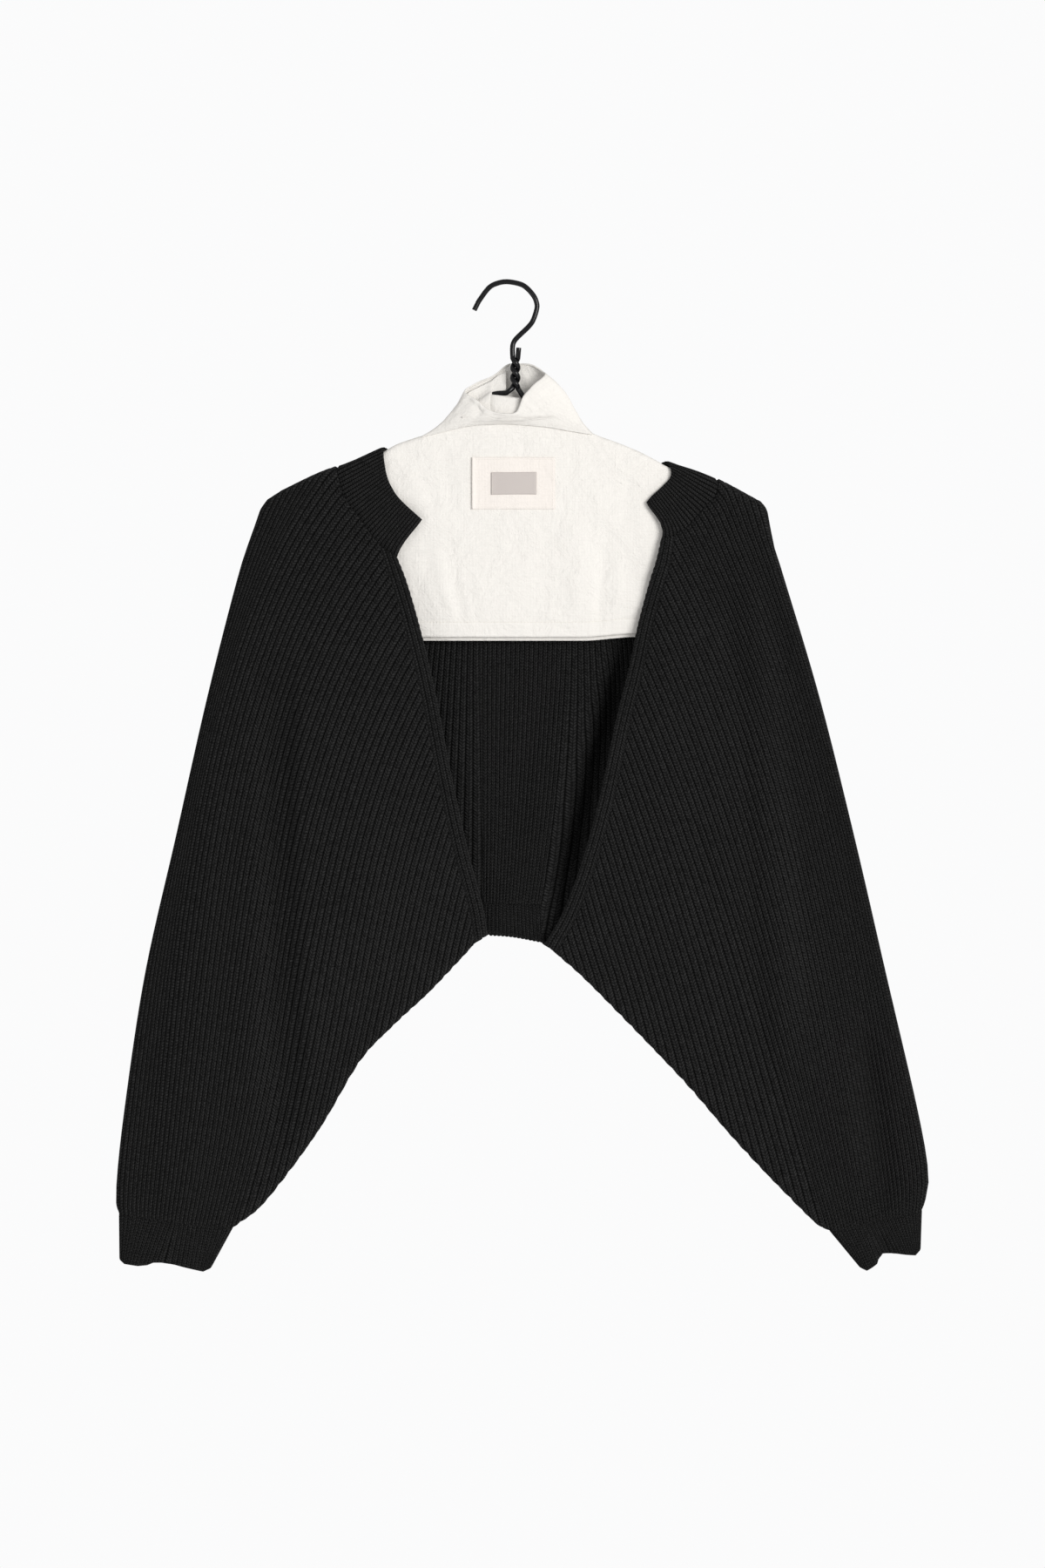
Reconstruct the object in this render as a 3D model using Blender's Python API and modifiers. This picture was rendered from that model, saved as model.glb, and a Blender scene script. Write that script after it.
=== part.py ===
"""Knitted shrug on a covered wire hanger.

Units are metres, +Z is up, +X is the viewer's right and the front faces -Y. The origin is the
underside of the hook's crown, where the hook sits on what holds it. "right" and "left" are the
wearer's, so the right side lies at -X. Each side has its own sections, because the cloth hangs
unevenly. The shrug is two fronts and one back in half-cardigan rib, knitted in one with the
sleeves, and a neckband, front trims, hem band and cuffs in finer rib.
"""

import math

import bmesh
import bpy
import numpy as np

MM = 0.001
SIDES = ("right", "left")

# ---- driving dimensions, in millimetres ------------------------------------------------------
SEAM_GAP = 0.3  # between pieces that lie on each other
SEAM_CLEARANCE = 0.9  # between the edges of pieces that are sewn together
FACET_ROOM = 0.3  # more between wire and cotton, where flat faces cut the corner
KNIT_ROOM = 1.3  # between cotton and knit over the shoulders
WALL = 1.8  # knit, from the inside to the bottom of a groove
RIB_HEIGHT = 1.2  # a rib over its grooves
FINE_RIB_HEIGHT = 0.8
FINE_RIB_PITCH = 4.0
HEM_RIB_PITCH = 2.8
COTTON = 1.0  # hanger cover
COTTON_SEAM_GAP = 0.8  # between the front and the back of the cover
WIRE_DIAMETER = 4.2
# From the wire's middle to the middle of the cotton round it, and to the bottom of the knit's grooves.
COVER_RADIUS = WIRE_DIAMETER / 2 + SEAM_GAP + FACET_ROOM + COTTON / 2
EDGE_RADIUS = COVER_RADIUS + (COTTON + COTTON_SEAM_GAP) / 2 + KNIT_ROOM + WALL
BULGE_REACH = 95.0  # from the outline to where a layer of knit has its full depth
FOLD_FADE = 0.3  # share of a fold's length over which it rises and dies away
FOLD_START = 0.1  # of its full height at its two ends
FOLD_CLEARANCE = 25.0  # folds die away this near to an outline
BLACK_YARN = (0.014, 0.014, 0.015, 1)
COTTON_CREAM = (0.86, 0.83, 0.78, 1)
LABEL_GREY = (0.60, 0.57, 0.53, 1)
WIRE_BLACK = (0.01, 0.01, 0.011, 1)
CLOTH_ROUGHNESS = 0.9
WIRE_ROUGHNESS = 0.25

# ---- hanger: x and z, or out from the stem and down from its foot -----------------------------
STEM = (4.3, -87.9)
HOOK = ((-28.7, -20.7), (-24.2, -12.3), (-16.8, -2.7), (-1.8, 2.1), (13.3, -2.7), (21.6, -17.9),
        (18.5, -29.1), (8.4, -40.3), (2.5, -48.5))
TWIST_TOP = -58.5
TWIST_FOOT = -83.5
TWIST_HALF_TURNS = 3
STUB_END = (7.1, -51.0)
ARM = {
    "right": ((7, -0.7), (18, 0.6), (30, 7.5), (52, 22.5), (68, 34), (107, 51.5), (130, 62), (155, 71),
              (188, 87)),
    "left": ((7, 3.5), (20, 13), (56, 32.5), (90, 46.5), (123, 62.5), (145, 69.5), (165, 78.5), (188, 91)),
}
ARM_END = {  # the bend down to the bottom bar
    "right": ((193.5, 91.5), (196.0, 98.5), (193.5, 105), (186, 107.5)),
    "left": ((192.7, 95.5), (195.3, 103.0), (193.0, 110), (186, 112.5)),
}
CREST_SPAN = (60, 190)  # how far out the shrug follows the arm

# ---- outline of the hanging shrug, at the top of its ribs: x and z -----------------------------
SLEEVE_FOLD = {  # outer fold from the shoulder tip to the cuff's seam
    "right": ((-194.3, -171.9), (-201.3, -182.4), (-206.9, -199.2), (-218.1, -232.8), (-243.3, -331.5),
              (-268.5, -443.5), (-293.7, -555.5), (-310.5, -667.5), (-316.6, -728.0), (-315.0, -746.5)),
    "left": ((201.0, -173.5), (207.2, -183.1), (211.8, -208.0), (219.5, -232.8), (248.9, -331.5),
             (276.9, -443.5), (302.8, -555.5), (328.7, -667.5), (336.6, -718.0), (332.0, -743.5)),
}
UNDERARM = {  # from the foot of the front edge to the cuff's seam
    "right": ((-17.0, -524.0), (-28.4, -531.0), (-38.2, -541.5), (-64.8, -569.5), (-94.9, -597.5),
              (-120.8, -625.5), (-154.4, -681.5), (-196.4, -737.5), (-221.5, -758.0)),
    "left": ((26.5, -531.0), (36.0, -538.0), (56.4, -555.5), (84.4, -583.5), (138.3, -639.5),
             (187.3, -695.5), (241.9, -751.5), (255.5, -760.5)),
}
FRONT_EDGE = {  # from the neckband to the underarm
    "right": ((-90.0, -219.4), (-82.0, -240.0), (-71.1, -277.6), (-59.9, -323.8), (-47.3, -388.2),
              (-33.3, -452.6), (-21.5, -497.0), (-17.0, -524.0)),
    "left": ((120.6, -217.0), (111.7, -238.4), (102.6, -272.0), (95.6, -304.9), (84.4, -349.7),
             (71.1, -412.0), (56.4, -465.2), (41.7, -504.4), (26.5, -531.0)),
}
NECK_SEAM = {  # from the shoulder's crest to the front trim
    "right": ((-140.4, -146.0), (-135.5, -164.9), (-129.2, -177.5), (-120.8, -188.0), (-112.5, -200.0),
              (-104.0, -210.4)),
    "left": ((168.4, -158.6), (158.6, -176.8), (148.8, -188.0), (141.1, -195.0), (132.5, -201.5),
             (123.5, -214.0)),
}
NECK_EDGE = {  # inner edge of the neckband, from the crest to its free tip
    "right": ((-102.6, -131.0), (-99.1, -152.3), (-93.5, -165.6), (-85.8, -175.4), (-70.4, -189.4)),
    "left": ((127.8, -142.0), (129.2, -153.7), (122.8, -162.1), (114.5, -169.8), (109.6, -175.4)),
}
BACK_NECK_SEAM = ((-110.0, -172.0), (-60.0, -189.0), (12.0, -196.0), (85.0, -192.0), (140.0, -178.0))
BACK_NECK_EDGE = ((-85.0, -141.0), (-50.0, -148.5), (12.0, -154.0), (75.0, -151.5), (112.0, -147.0))
HEM_SEAM = {"right": (-22.5, -497.5), "left": (25.0, -499.0)}
HEM_EDGE = {"right": (-23.5, -526.4), "middle": (0.0, -525.6), "left": (27.0, -531.0)}

# ---- depth of the layers in front of and behind the hanger's plane ----------------------------
LAYER_DEPTH = (
    # z, front, back
    (-120, 9.5, 9.0),
    (-220, 14.0, 11.0),
    (-300, 17.0, 12.5),
    (-450, 20.0, 13.5),
    (-600, 20.0, 14.5),
    (-700, 17.0, 14.0),
    (-770, 13.0, 12.0),
)
FOLDS = (
    # layer, top x, top z, foot x, foot z, half width, height, where a minus is a trough
    ("front", -178, -270, -171, -735, 21, -6.0),
    ("front", -247, -300, -262, -700, 30, 2.5),
    ("front", -95, -330, -128, -600, 34, 2.0),
    ("front", 199, -190, 247, -690, 18, 3.5),
    ("front", 301, -600, 309, -760, 17, -5.0),
    ("front", 128, -260, 118, -560, 34, 2.0),
    ("back", 101, -215, 41, -515, 23, 17.0),
    ("back", 162, -285, 190, -720, 24, -4.0),
    ("back", -168, -285, -200, -735, 24, -4.5),
    ("back", -250, -330, -275, -720, 26, 3.0),
    ("back", 262, -330, 300, -720, 26, 3.0),
)

# ---- ribs of the panels ------------------------------------------------------------------------
# Leg of the outline, ribs that start or end on it, and the lean of its first and last one in
# degrees from the horizontal. Both tables of a panel add up to the same number of ribs.
FRONT_TOP = {
    "right": (("crest", 9, 74, 56), ("neck", 12, 50, 50), ("trim", 34, 54, 79)),
    "left": (("crest", 9, 106, 124), ("neck", 12, 127, 124), ("trim", 34, 122, 102)),
}
FRONT_END = {
    "right": (("cuff", 30, 88, 72), ("underarm", 25, 72, 80)),
    "left": (("cuff", 30, 93, 107), ("underarm", 25, 106, 102)),
}
BACK_TOP = (
    ("crest_right", 9, 74, 77),
    ("back_neck", 86, 78, 101),
    ("crest_left", 9, 102, 105),
)
BACK_END = (
    ("cuff_right", 21, 88, 78),
    ("underarm_right", 21, 78, 89),
    ("band_end_right", 1, 90, 90),
    ("hem", 18, 90, 80),
    ("band_end_left", 1, 80, 79),
    ("underarm_left", 21, 79, 101),
    ("cuff_left", 21, 101, 93),
)
# Two panels are cut along ribs, because the wide hollow between them needs simpler solids: name
# and last rib.
FRONT_PARTS = {
    "right": (("front_right_sleeve", 30), ("front_right", 55)),
    "left": (("front_left", 55),),
}
BACK_PARTS = (
    ("back_right_sleeve", 21),
    ("back_right", 42),
    ("back_middle", 62),
    ("back_left", 83),
    ("back_left_sleeve", 104),
)
SLANT_SHARE = 0.15  # how much a leg's own length counts in spacing ribs that meet it aslant
BOW_COLUMNS = 40  # columns beside the sleeve's fold that share its bow
ROWS_FROM_TOP = (0.0, 0.85 * EDGE_RADIUS, 2.1 * EDGE_RADIUS)
ROWS_BETWEEN = (0.055, 0.27, 0.52, 0.77)
ROWS_FROM_END = (1.2 * EDGE_RADIUS, 0.0)
SHORT_RIB = 60.0  # ribs under this length have their end rows drawn together
COLUMNS_PER_INNER = 6  # the plain inside has one column for this many outer ones, or fewer
INNER_TOLERANCE = 0.35  # where the surface turns by more than this between them
NOTCH_ROOM = (1.35, 2.25)  # from the hem band's sides to the back, at its seam and at its free edge
TRIM_FOOT_ROOM = 2.5  # along the underarm, from the front trim to the front's last rib

# ---- bands ---------------------------------------------------------------------------------------
TRIM_WIDTH = 12.0
TRIM_TAPER = 16.0  # from the neckband to where the trim has its width
TRIM_FOOT = 13.5
TRIM_COLUMNS = 20
TRIM_ROLL = ((0.0, 0.4), (0.3, 1.2), (0.75, 1.0), (1.0, 0.0))  # share across, height
BAND_ROWS = (0.0, 0.5, 1.0)
CUFF_FOOT = {"right": ((-312.5, -786.5), (-243.0, -791.5)), "left": ((328.5, -780.0), (285.5, -791.0))}
CUFF_DEPTH = 9.0
CUFF_SQUARENESS = 0.83
CUFF_RIBS = 44
CUFF_ROWS = (0.0, 0.4, 1.0)
CUFF_ROOM = 1.17  # from the sleeve's end down to the cuff
CUFF_SAMPLES = 181
CUFF_WAVE = 1.2
CUFF_WAVES = 3

# ---- cotton cover ----------------------------------------------------------------------------------
COVER_TOP = {  # middle of the cotton, from the collar's seam to the end of the arm
    "right": ((69, 25.8), (82, 35.0), (96, 42.5), (104, 46.8), (112, 50.6), (130, 58.7), (155, 67.7),
              (188, 83.0), (197.2, 91.0), (199.5, 101.0)),
    "left": ((54, 26.0), (74, 34.5), (90, 41.0), (104, 48.0), (114, 54.5), (123, 59.3), (145, 65.8),
             (165, 75.0), (188, 87.0), (196.3, 94.5), (198.9, 104.5)),
}
COVER_FOOT = -284.8
COVER_REACH = 130.0
COVER_DEPTH = ((-110, 4.2, 4.2), (-285, 4.2, 4.2))  # z, front, back
COVER_SIDE_COLUMNS = (0.0, 2.2, 4.4, 10.0)
COVER_COLUMNS = 12
COVER_ROWS_FROM_TOP = (0.0, 2.6, 5.2)
COVER_ROWS_BETWEEN = (0.2, 0.55, 1.0)
COLLAR_SEAM = ((-31.9, -112.4), (-8.0, -111.8), (29.0, -113.0))  # x and z, between the two slopes
# Rings of the collar, from the left end by the back to the right end and the front: x, y, z.
COLLAR_WAIST = (
    (46.5, -4.0, -96.5), (41.0, 3.5, -91.0), (27.0, 7.0, -84.0), (12.0, 8.5, -82.0), (-3.0, 8.5, -83.0),
    (-22.0, 7.5, -90.0), (-36.0, 4.0, -97.0), (-46.0, -1.5, -102.5), (-38.0, -7.0, -106.0),
    (-22.0, -9.0, -108.0), (-4.0, -9.8, -109.2), (12.0, -9.8, -108.5), (26.0, -9.3, -104.5),
    (38.0, -8.0, -100.5),
)
COLLAR_LIP = (
    (27.6, -7.0, -74.0), (26.0, 2.0, -69.5), (18.0, 8.0, -64.3), (8.0, 9.5, -63.4), (-2.0, 9.5, -64.2),
    (-14.0, 8.0, -73.2), (-28.0, 4.0, -79.5), (-36.6, -2.0, -86.6), (-28.0, -8.5, -93.5),
    (-16.5, -11.5, -102.5), (-3.0, -12.5, -105.2), (6.0, -12.0, -103.2), (11.5, -11.5, -91.0),
    (19.0, -11.0, -82.5),
)
COLLAR_STATIONS = (0.0, 0.15, 0.4, 1.0, 1.5, 2.0, 2.5, 3.0, 3.5, 4.0, 4.5, 5.0, 5.5, 6.0, 6.6, 6.85)
COLLAR_ROWS = 2
PATCH = ((-30.5, 36.0), (-139.0, -181.0))  # x span, z span
LABEL = ((-15.0, 21.3), (-151.3, -169.2))
PATCH_COLUMNS = 5
PATCH_ROWS = 4


# ---- paths -----------------------------------------------------------------------------------
def smooth_path(points, steps=8):
    """A curve through the points (Catmull-Rom), with this many steps between two of them."""
    points = np.asarray(points, float)
    before = np.vstack([2 * points[0] - points[1], points[:-1]])
    after = np.vstack([points[1:], 2 * points[-1] - points[-2]])
    t = np.linspace(0, 1, steps, endpoint=False)[:, None]
    spans = []
    for a, b, c, d in zip(before[:-1], points[:-1], points[1:], after[1:]):
        square = t**2 * (2 * a - 5 * b + 4 * c - d) / 2
        cube = t**3 * (3 * b - a - 3 * c + d) / 2
        spans.append(b + t * (c - a) / 2 + square + cube)
    return np.vstack([*spans, points[-1:]])


def lengths(path):
    return np.concatenate([[0.0], np.cumsum(np.linalg.norm(np.diff(path, axis=0), axis=1))])


def at_length(path, distances):
    along = lengths(path)
    return np.stack([np.interp(distances, along, path[:, i]) for i in range(path.shape[1])], axis=-1)


def at_share(path, shares):
    return at_length(path, np.asarray(shares) * lengths(path)[-1])


def length_where(path, axis, value):
    """Distance along the path to the first place where this coordinate passes the value."""
    side = np.sign(path[:, axis] - value)
    i = int(np.nonzero(side[:-1] * side[1:] <= 0)[0][0])
    share = (value - path[i, axis]) / (path[i + 1, axis] - path[i, axis])
    along = lengths(path)
    return along[i] + share * (along[i + 1] - along[i])


def cut(path, start, end, step=3.0):
    """The stretch of a path between two distances along it, which may run backwards."""
    steps = max(2, int(abs(end - start) / step))
    return at_length(path, np.linspace(start, end, steps + 1))


def offset(path, distance):
    """The path moved to its own left, looking along it. The distance may be one for each point."""
    along = np.gradient(path, axis=0)
    along /= np.linalg.norm(along, axis=1)[:, None]
    return path + np.reshape(distance, (-1, 1)) * np.stack([-along[:, 1], along[:, 0]], axis=1)


def arm_path(side, rows):
    """Rows given out and down from the foot of the hook's stem, as x and z."""
    sign = -1 if side == "right" else 1
    return np.array([(STEM[0] + sign * out, STEM[1] - down) for out, down in rows])


# ---- the form that hanging cloth takes -------------------------------------------------------
def soft_step(value):
    value = np.clip(value, 0, 1)
    return value * value * (3 - 2 * value)


class Form:
    """Two layers of cloth, back to back. At an outline each turns to the other in a quarter
    circle, and inside it each bulges away to its full depth. Its outlines are flat paths of x
    and z with the cloth on their left hand."""

    def __init__(self, outlines, radius, seam, reach, depths, folds=()):
        self.radius = radius
        self.extra = (math.pi / 2 - 1) * radius  # cloth that the turn takes beyond the outline
        self.seam = seam
        self.reach = reach
        self.depths = np.array(depths, float)[::-1]
        self.folds = folds
        self.start = np.vstack([path[:-1] for path in outlines])
        self.step = np.vstack([np.diff(path, axis=0) for path in outlines])
        inward = np.stack([-self.step[:, 1], self.step[:, 0]], axis=1)
        self.inward = inward / np.linalg.norm(inward, axis=1)[:, None]

    def from_outline(self, points):
        """Distance of flat points inwards from the nearest outline, and the way inwards there."""
        rel = points[:, None, :] - self.start[None]
        share = np.clip((rel * self.step).sum(2) / (self.step**2).sum(1), 0, 1)
        away = rel - share[..., None] * self.step
        distance = np.linalg.norm(away, axis=2)
        nearest = distance.argmin(axis=1)
        rows = np.arange(len(points))
        inner = self.inward[nearest]
        away = away[rows, nearest]
        share = share[rows, nearest]
        signed = (away * inner).sum(1)
        beside = (share > 0) & (share < 1) | (signed < 0)
        radial = away / np.maximum(np.linalg.norm(away, axis=1), 1e-9)[:, None]
        return np.where(beside, signed, distance[rows, nearest]), np.where(beside[:, None], inner, radial)

    def fold_height(self, points, layer):
        height = np.zeros(len(points))
        for name, top_x, top_z, foot_x, foot_z, half_width, high in self.folds:
            if name != layer:
                continue
            top = np.array([top_x, top_z])
            run = np.array([foot_x, foot_z]) - top
            long = np.linalg.norm(run)
            along = (points - top) @ run / long
            across = (points - top) @ np.array([-run[1], run[0]]) / long
            profile = np.clip(1 - (across / half_width) ** 2, 0, 1) ** 2
            fade = FOLD_FADE * long
            rise = soft_step(along / fade + FOLD_START)
            fall = soft_step((long - along) / fade + FOLD_START)
            height += high * profile * rise * fall
        return height

    def lay(self, points, layer, lift=0.0):
        """Flat points of x and z laid on the front or the back layer, as x, y and z."""
        flat = np.asarray(points, float).reshape(-1, 2)
        distance, way = self.from_outline(flat)
        turned = distance + self.extra
        angle = np.clip(turned / self.radius, 0, math.pi / 2)
        inside = np.where(angle < math.pi / 2, self.radius * (1 - np.cos(angle)), distance)
        placed = flat + way * (inside - distance)[:, None]
        full = np.interp(placed[:, 1], self.depths[:, 0], self.depths[:, 1 if layer == "front" else 2])
        beyond = inside - self.radius
        bulge = (full - self.radius) * soft_step(beyond / self.reach)
        folds = self.fold_height(placed, layer) * soft_step(beyond / FOLD_CLEARANCE)
        depth = self.radius * np.sin(angle) + bulge + folds + self.seam / 2 + lift
        away = -1 if layer == "front" else 1
        laid = np.stack([placed[:, 0], away * depth, placed[:, 1]], axis=1)
        return laid.reshape(*np.shape(points)[:-1], 3)


def shrug_outline():
    """For each side the outline of the knit at the bottom of its grooves: over the shoulder and
    down the sleeve, and along the underarm."""
    found = {}
    for side in SIDES:
        turn = 1 if side == "right" else -1
        rows = [row for row in ARM[side] if CREST_SPAN[0] < row[0] < CREST_SPAN[1]]
        crest = offset(smooth_path(arm_path(side, rows)), -turn * EDGE_RADIUS)
        fold = offset(smooth_path(SLEEVE_FOLD[side]), turn * RIB_HEIGHT)
        found[side] = {
            "over": np.vstack([crest[:-1], fold[1:]]),
            "under": offset(smooth_path(UNDERARM[side]), -turn * RIB_HEIGHT),
        }
    return found


def cloth_on_left(side, over, under):
    return [over, under[::-1]] if side == "right" else [over[::-1], under]


def cover_slope(side):
    return smooth_path(arm_path(side, COVER_TOP[side]))


def cover_outline(side):
    """The cover's slope, from the collar's seam out to the end of the arm, and its side."""
    slope = cover_slope(side)
    return np.vstack([slope, (slope[-1, 0], COVER_FOOT)])


OUTLINE = shrug_outline()
HEM_LINE = np.array([OUTLINE[side]["under"][0] for side in SIDES])
COVER_EDGE = {side: cover_outline(side) for side in SIDES}
SHRUG = Form(
    [*(path for side in SIDES for path in cloth_on_left(side, **OUTLINE[side])), HEM_LINE],
    EDGE_RADIUS, SEAM_GAP, BULGE_REACH, LAYER_DEPTH, FOLDS,
)
COVER = Form(
    [COVER_EDGE["right"], COVER_EDGE["left"][::-1]],
    COVER_RADIUS, COTTON_SEAM_GAP, COVER_REACH, COVER_DEPTH,
)


# ---- closed walls ----------------------------------------------------------------------------
def surface_normals(grid, outward):
    """Unit normals of a grid of points, on the side that faces the outward vector at its middle."""
    normal = np.cross(np.gradient(grid, axis=1), np.gradient(grid, axis=0))
    normal /= np.maximum(np.linalg.norm(normal, axis=2), 1e-9)[..., None]
    middle = normal[grid.shape[0] // 2, grid.shape[1] // 2]
    if middle @ np.asarray(outward, float) < 0:
        normal = -normal
    normal[np.abs(grid[..., 1]) < SEAM_GAP, 1] = 0  # both layers end square at their common seam
    return normal / np.linalg.norm(normal, axis=2)[..., None]


def inner_columns(inner):
    """Numbers of the columns that the plain inside needs to follow its true surface."""
    picks = [0]
    last = inner.shape[1] - 1
    while picks[-1] < last:
        first = picks[-1]
        for step in range(COLUMNS_PER_INNER, 0, -2):
            end = min(first + step, last)
            chord = inner[:, end] - inner[:, first]
            off = np.cross(inner[:, first + 1:end] - inner[:, first:first + 1], chord[:, None])
            allowed = INNER_TOLERANCE * np.linalg.norm(chord, axis=1)
            if np.all(np.linalg.norm(off, axis=2) < allowed[:, None]):
                break
        picks.append(end)
    return picks


def knit_wall(grid, outward, height, layer=None, ring=False):
    """Outer points with every second column raised into a rib, and plain inner points behind
    them. A front or back stays on its side of the seam."""
    if ring:
        wrapped = np.concatenate([grid[:, -2:-1], grid, grid[:, 1:2]], axis=1)
        normal = surface_normals(wrapped, outward)[:, 1:-1]
    else:
        normal = surface_normals(grid, outward)
    raised = np.zeros(grid.shape[:2])
    raised[:, 1::2] = height
    outer = grid + normal * raised[..., None]
    inner = grid - normal * WALL
    if layer:
        side = -1 if layer == "front" else 1
        for wall in (outer, inner):
            wall[..., 1] = side * np.maximum(side * wall[..., 1], SEAM_GAP / 2)
    return outer, inner


def join_walls(outer, inner, ring=False):
    """Points and faces of one closed body between the two, with fewer columns inside."""
    picks = inner_columns(inner)
    inner = inner[:, picks]
    rows, columns = outer.shape[:2]
    plain_columns = inner.shape[1]
    base = rows * columns
    faces = []

    def out(row, column):
        return row * columns + (column % (columns - 1) if ring else column)

    def into(row, column):
        return base + row * plain_columns + (column % (plain_columns - 1) if ring else column)

    for row in range(rows - 1):
        below = row + 1
        for column in range(columns - 1):
            beside = column + 1
            faces.append((out(row, column), out(row, beside), out(below, beside), out(below, column)))
        for column in range(plain_columns - 1):
            beside = column + 1
            faces.append((into(row, column), into(below, column), into(below, beside), into(row, beside)))
        if not ring:
            last, far = columns - 1, plain_columns - 1
            faces.append((out(row, 0), out(below, 0), into(below, 0), into(row, 0)))
            faces.append((out(row, last), into(row, far), into(below, far), out(below, last)))
    for row in (0, rows - 1):
        for i, (first, last) in enumerate(zip(picks[:-1], picks[1:])):
            middle = (first + last) // 2
            for column in range(first, last):
                near = i if column < middle else i + 1
                faces.append((out(row, column), into(row, near), out(row, column + 1)))
            faces.append((out(row, middle), into(row, i), into(row, i + 1)))
    return np.vstack([outer.reshape(-1, 3), inner.reshape(-1, 3)]), faces


# ---- objects ---------------------------------------------------------------------------------
for thing in list(bpy.data.objects):
    bpy.data.objects.remove(thing, do_unlink=True)
parts = bpy.data.collections.new("knitted_shrug_on_hanger")
bpy.context.scene.collection.children.link(parts)


def add_piece(name, data, colour, roughness):
    """An object with a material of its own, in the collection of parts."""
    finish = bpy.data.materials.new(name)
    finish.use_nodes = True
    shader = finish.node_tree.nodes["Principled BSDF"]
    shader.inputs["Base Color"].default_value = colour
    shader.inputs["Roughness"].default_value = roughness
    piece = bpy.data.objects.new(name, data)
    data.materials.append(finish)
    parts.objects.link(piece)
    return piece


def add_mesh(name, points, faces, colour):
    """A cloth piece from points in millimetres, with its faces turned outwards."""
    mesh = bpy.data.meshes.new(name)
    mesh.from_pydata([tuple(point) for point in np.asarray(points) * MM], [], faces)
    work = bmesh.new()
    work.from_mesh(mesh)
    bmesh.ops.delete(work, geom=[vert for vert in work.verts if not vert.link_faces], context="VERTS")
    bmesh.ops.recalc_face_normals(work, faces=work.faces)
    work.to_mesh(mesh)
    work.free()
    mesh.shade_smooth()
    mesh.set_sharp_from_angle(angle=math.radians(50))
    return add_piece(name, mesh, colour, CLOTH_ROUGHNESS)


def add_sheet(name, grid, colour, ring=False):
    """A cotton piece: an open surface through the middle of the cloth, made solid both ways."""
    rows, columns = grid.shape[:2]
    around = columns if ring else columns - 1
    faces = [
        (row * columns + column, row * columns + (column + 1) % columns,
         (row + 1) * columns + (column + 1) % columns, (row + 1) * columns + column)
        for row in range(rows - 1)
        for column in range(around)
    ]
    piece = add_mesh(name, grid.reshape(-1, 3), faces, colour)
    solid = piece.modifiers.new("cotton", "SOLIDIFY")
    solid.thickness = COTTON * MM
    solid.offset = 0
    solid.use_even_offset = False
    return piece


# ---- panels of the shrug ---------------------------------------------------------------------
def over_path(side):
    """Outline over the shoulder and down the sleeve, out to where the turning cloth would reach."""
    return offset(OUTLINE[side]["over"], -SHRUG.extra if side == "right" else SHRUG.extra)


def under_path(side):
    return offset(OUTLINE[side]["under"], SHRUG.extra if side == "right" else -SHRUG.extra)


def on_crest(side, x):
    """The place over the shoulder at this x."""
    over = over_path(side)
    return at_length(over, [length_where(over, 0, x)])[0]


def trim_seam(side):
    """Seam of the front trim to the front, from the neckband down to the underarm."""
    edge = smooth_path(FRONT_EDGE[side])
    seam = offset(edge, -TRIM_WIDTH if side == "right" else TRIM_WIDTH)
    under = under_path(side)
    foot = at_length(under, [TRIM_FOOT])[0]
    reach = length_where(seam, 1, foot[1] + TRIM_WIDTH)
    return np.vstack([smooth_path([NECK_SEAM[side][-1], *cut(seam, TRIM_TAPER, reach)], 1), foot])


def top_legs(side):
    """Legs of a front's outline where its ribs start, from the shoulder's tip to the trim's foot."""
    over = over_path(side)
    tip = length_where(over, 0, SLEEVE_FOLD[side][0][0])
    neck = length_where(over, 0, NECK_SEAM[side][0][0])
    seam = smooth_path([on_crest(side, NECK_SEAM[side][0][0]), *NECK_SEAM[side][1:]])
    return {"crest": cut(over, tip, neck), "neck": seam, "trim": trim_seam(side)}


def end_legs(side):
    """Legs where a front's ribs end, from the cuff to the foot of the trim."""
    under = under_path(side)
    cuff = np.linspace(over_path(side)[-1], under[-1], 20)
    return {"cuff": cuff, "underarm": cut(under, lengths(under)[-1], TRIM_FOOT + TRIM_FOOT_ROOM)}


def rib_ends(legs, rows):
    """Points, two for each rib, along the legs of an outline, with the lean of the rib at each.
    Ribs are one pitch apart measured across them, so a leg that they meet aslant spreads them."""
    points, leans = [], []
    for name, ribs, lean_start, lean_end in rows:
        leg = legs[name]
        along = lengths(leg)
        lean = np.radians(lean_start + (lean_end - lean_start) * along / along[-1])
        step = np.diff(leg, axis=0)
        middle = (lean[:-1] + lean[1:]) / 2
        across = np.abs(step[:, 0] * np.sin(middle) - step[:, 1] * np.cos(middle))
        gained = np.concatenate([[0.0], np.cumsum(across + SLANT_SHARE * np.linalg.norm(step, axis=1))])
        wanted = np.linspace(0, gained[-1], 2 * ribs + 1)
        if points:
            wanted = wanted[1:]
        places = np.interp(wanted, gained, along)
        points.extend(at_length(leg, places))
        leans.extend(np.interp(places, along, lean))
    return np.array(points), np.array(leans)


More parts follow.
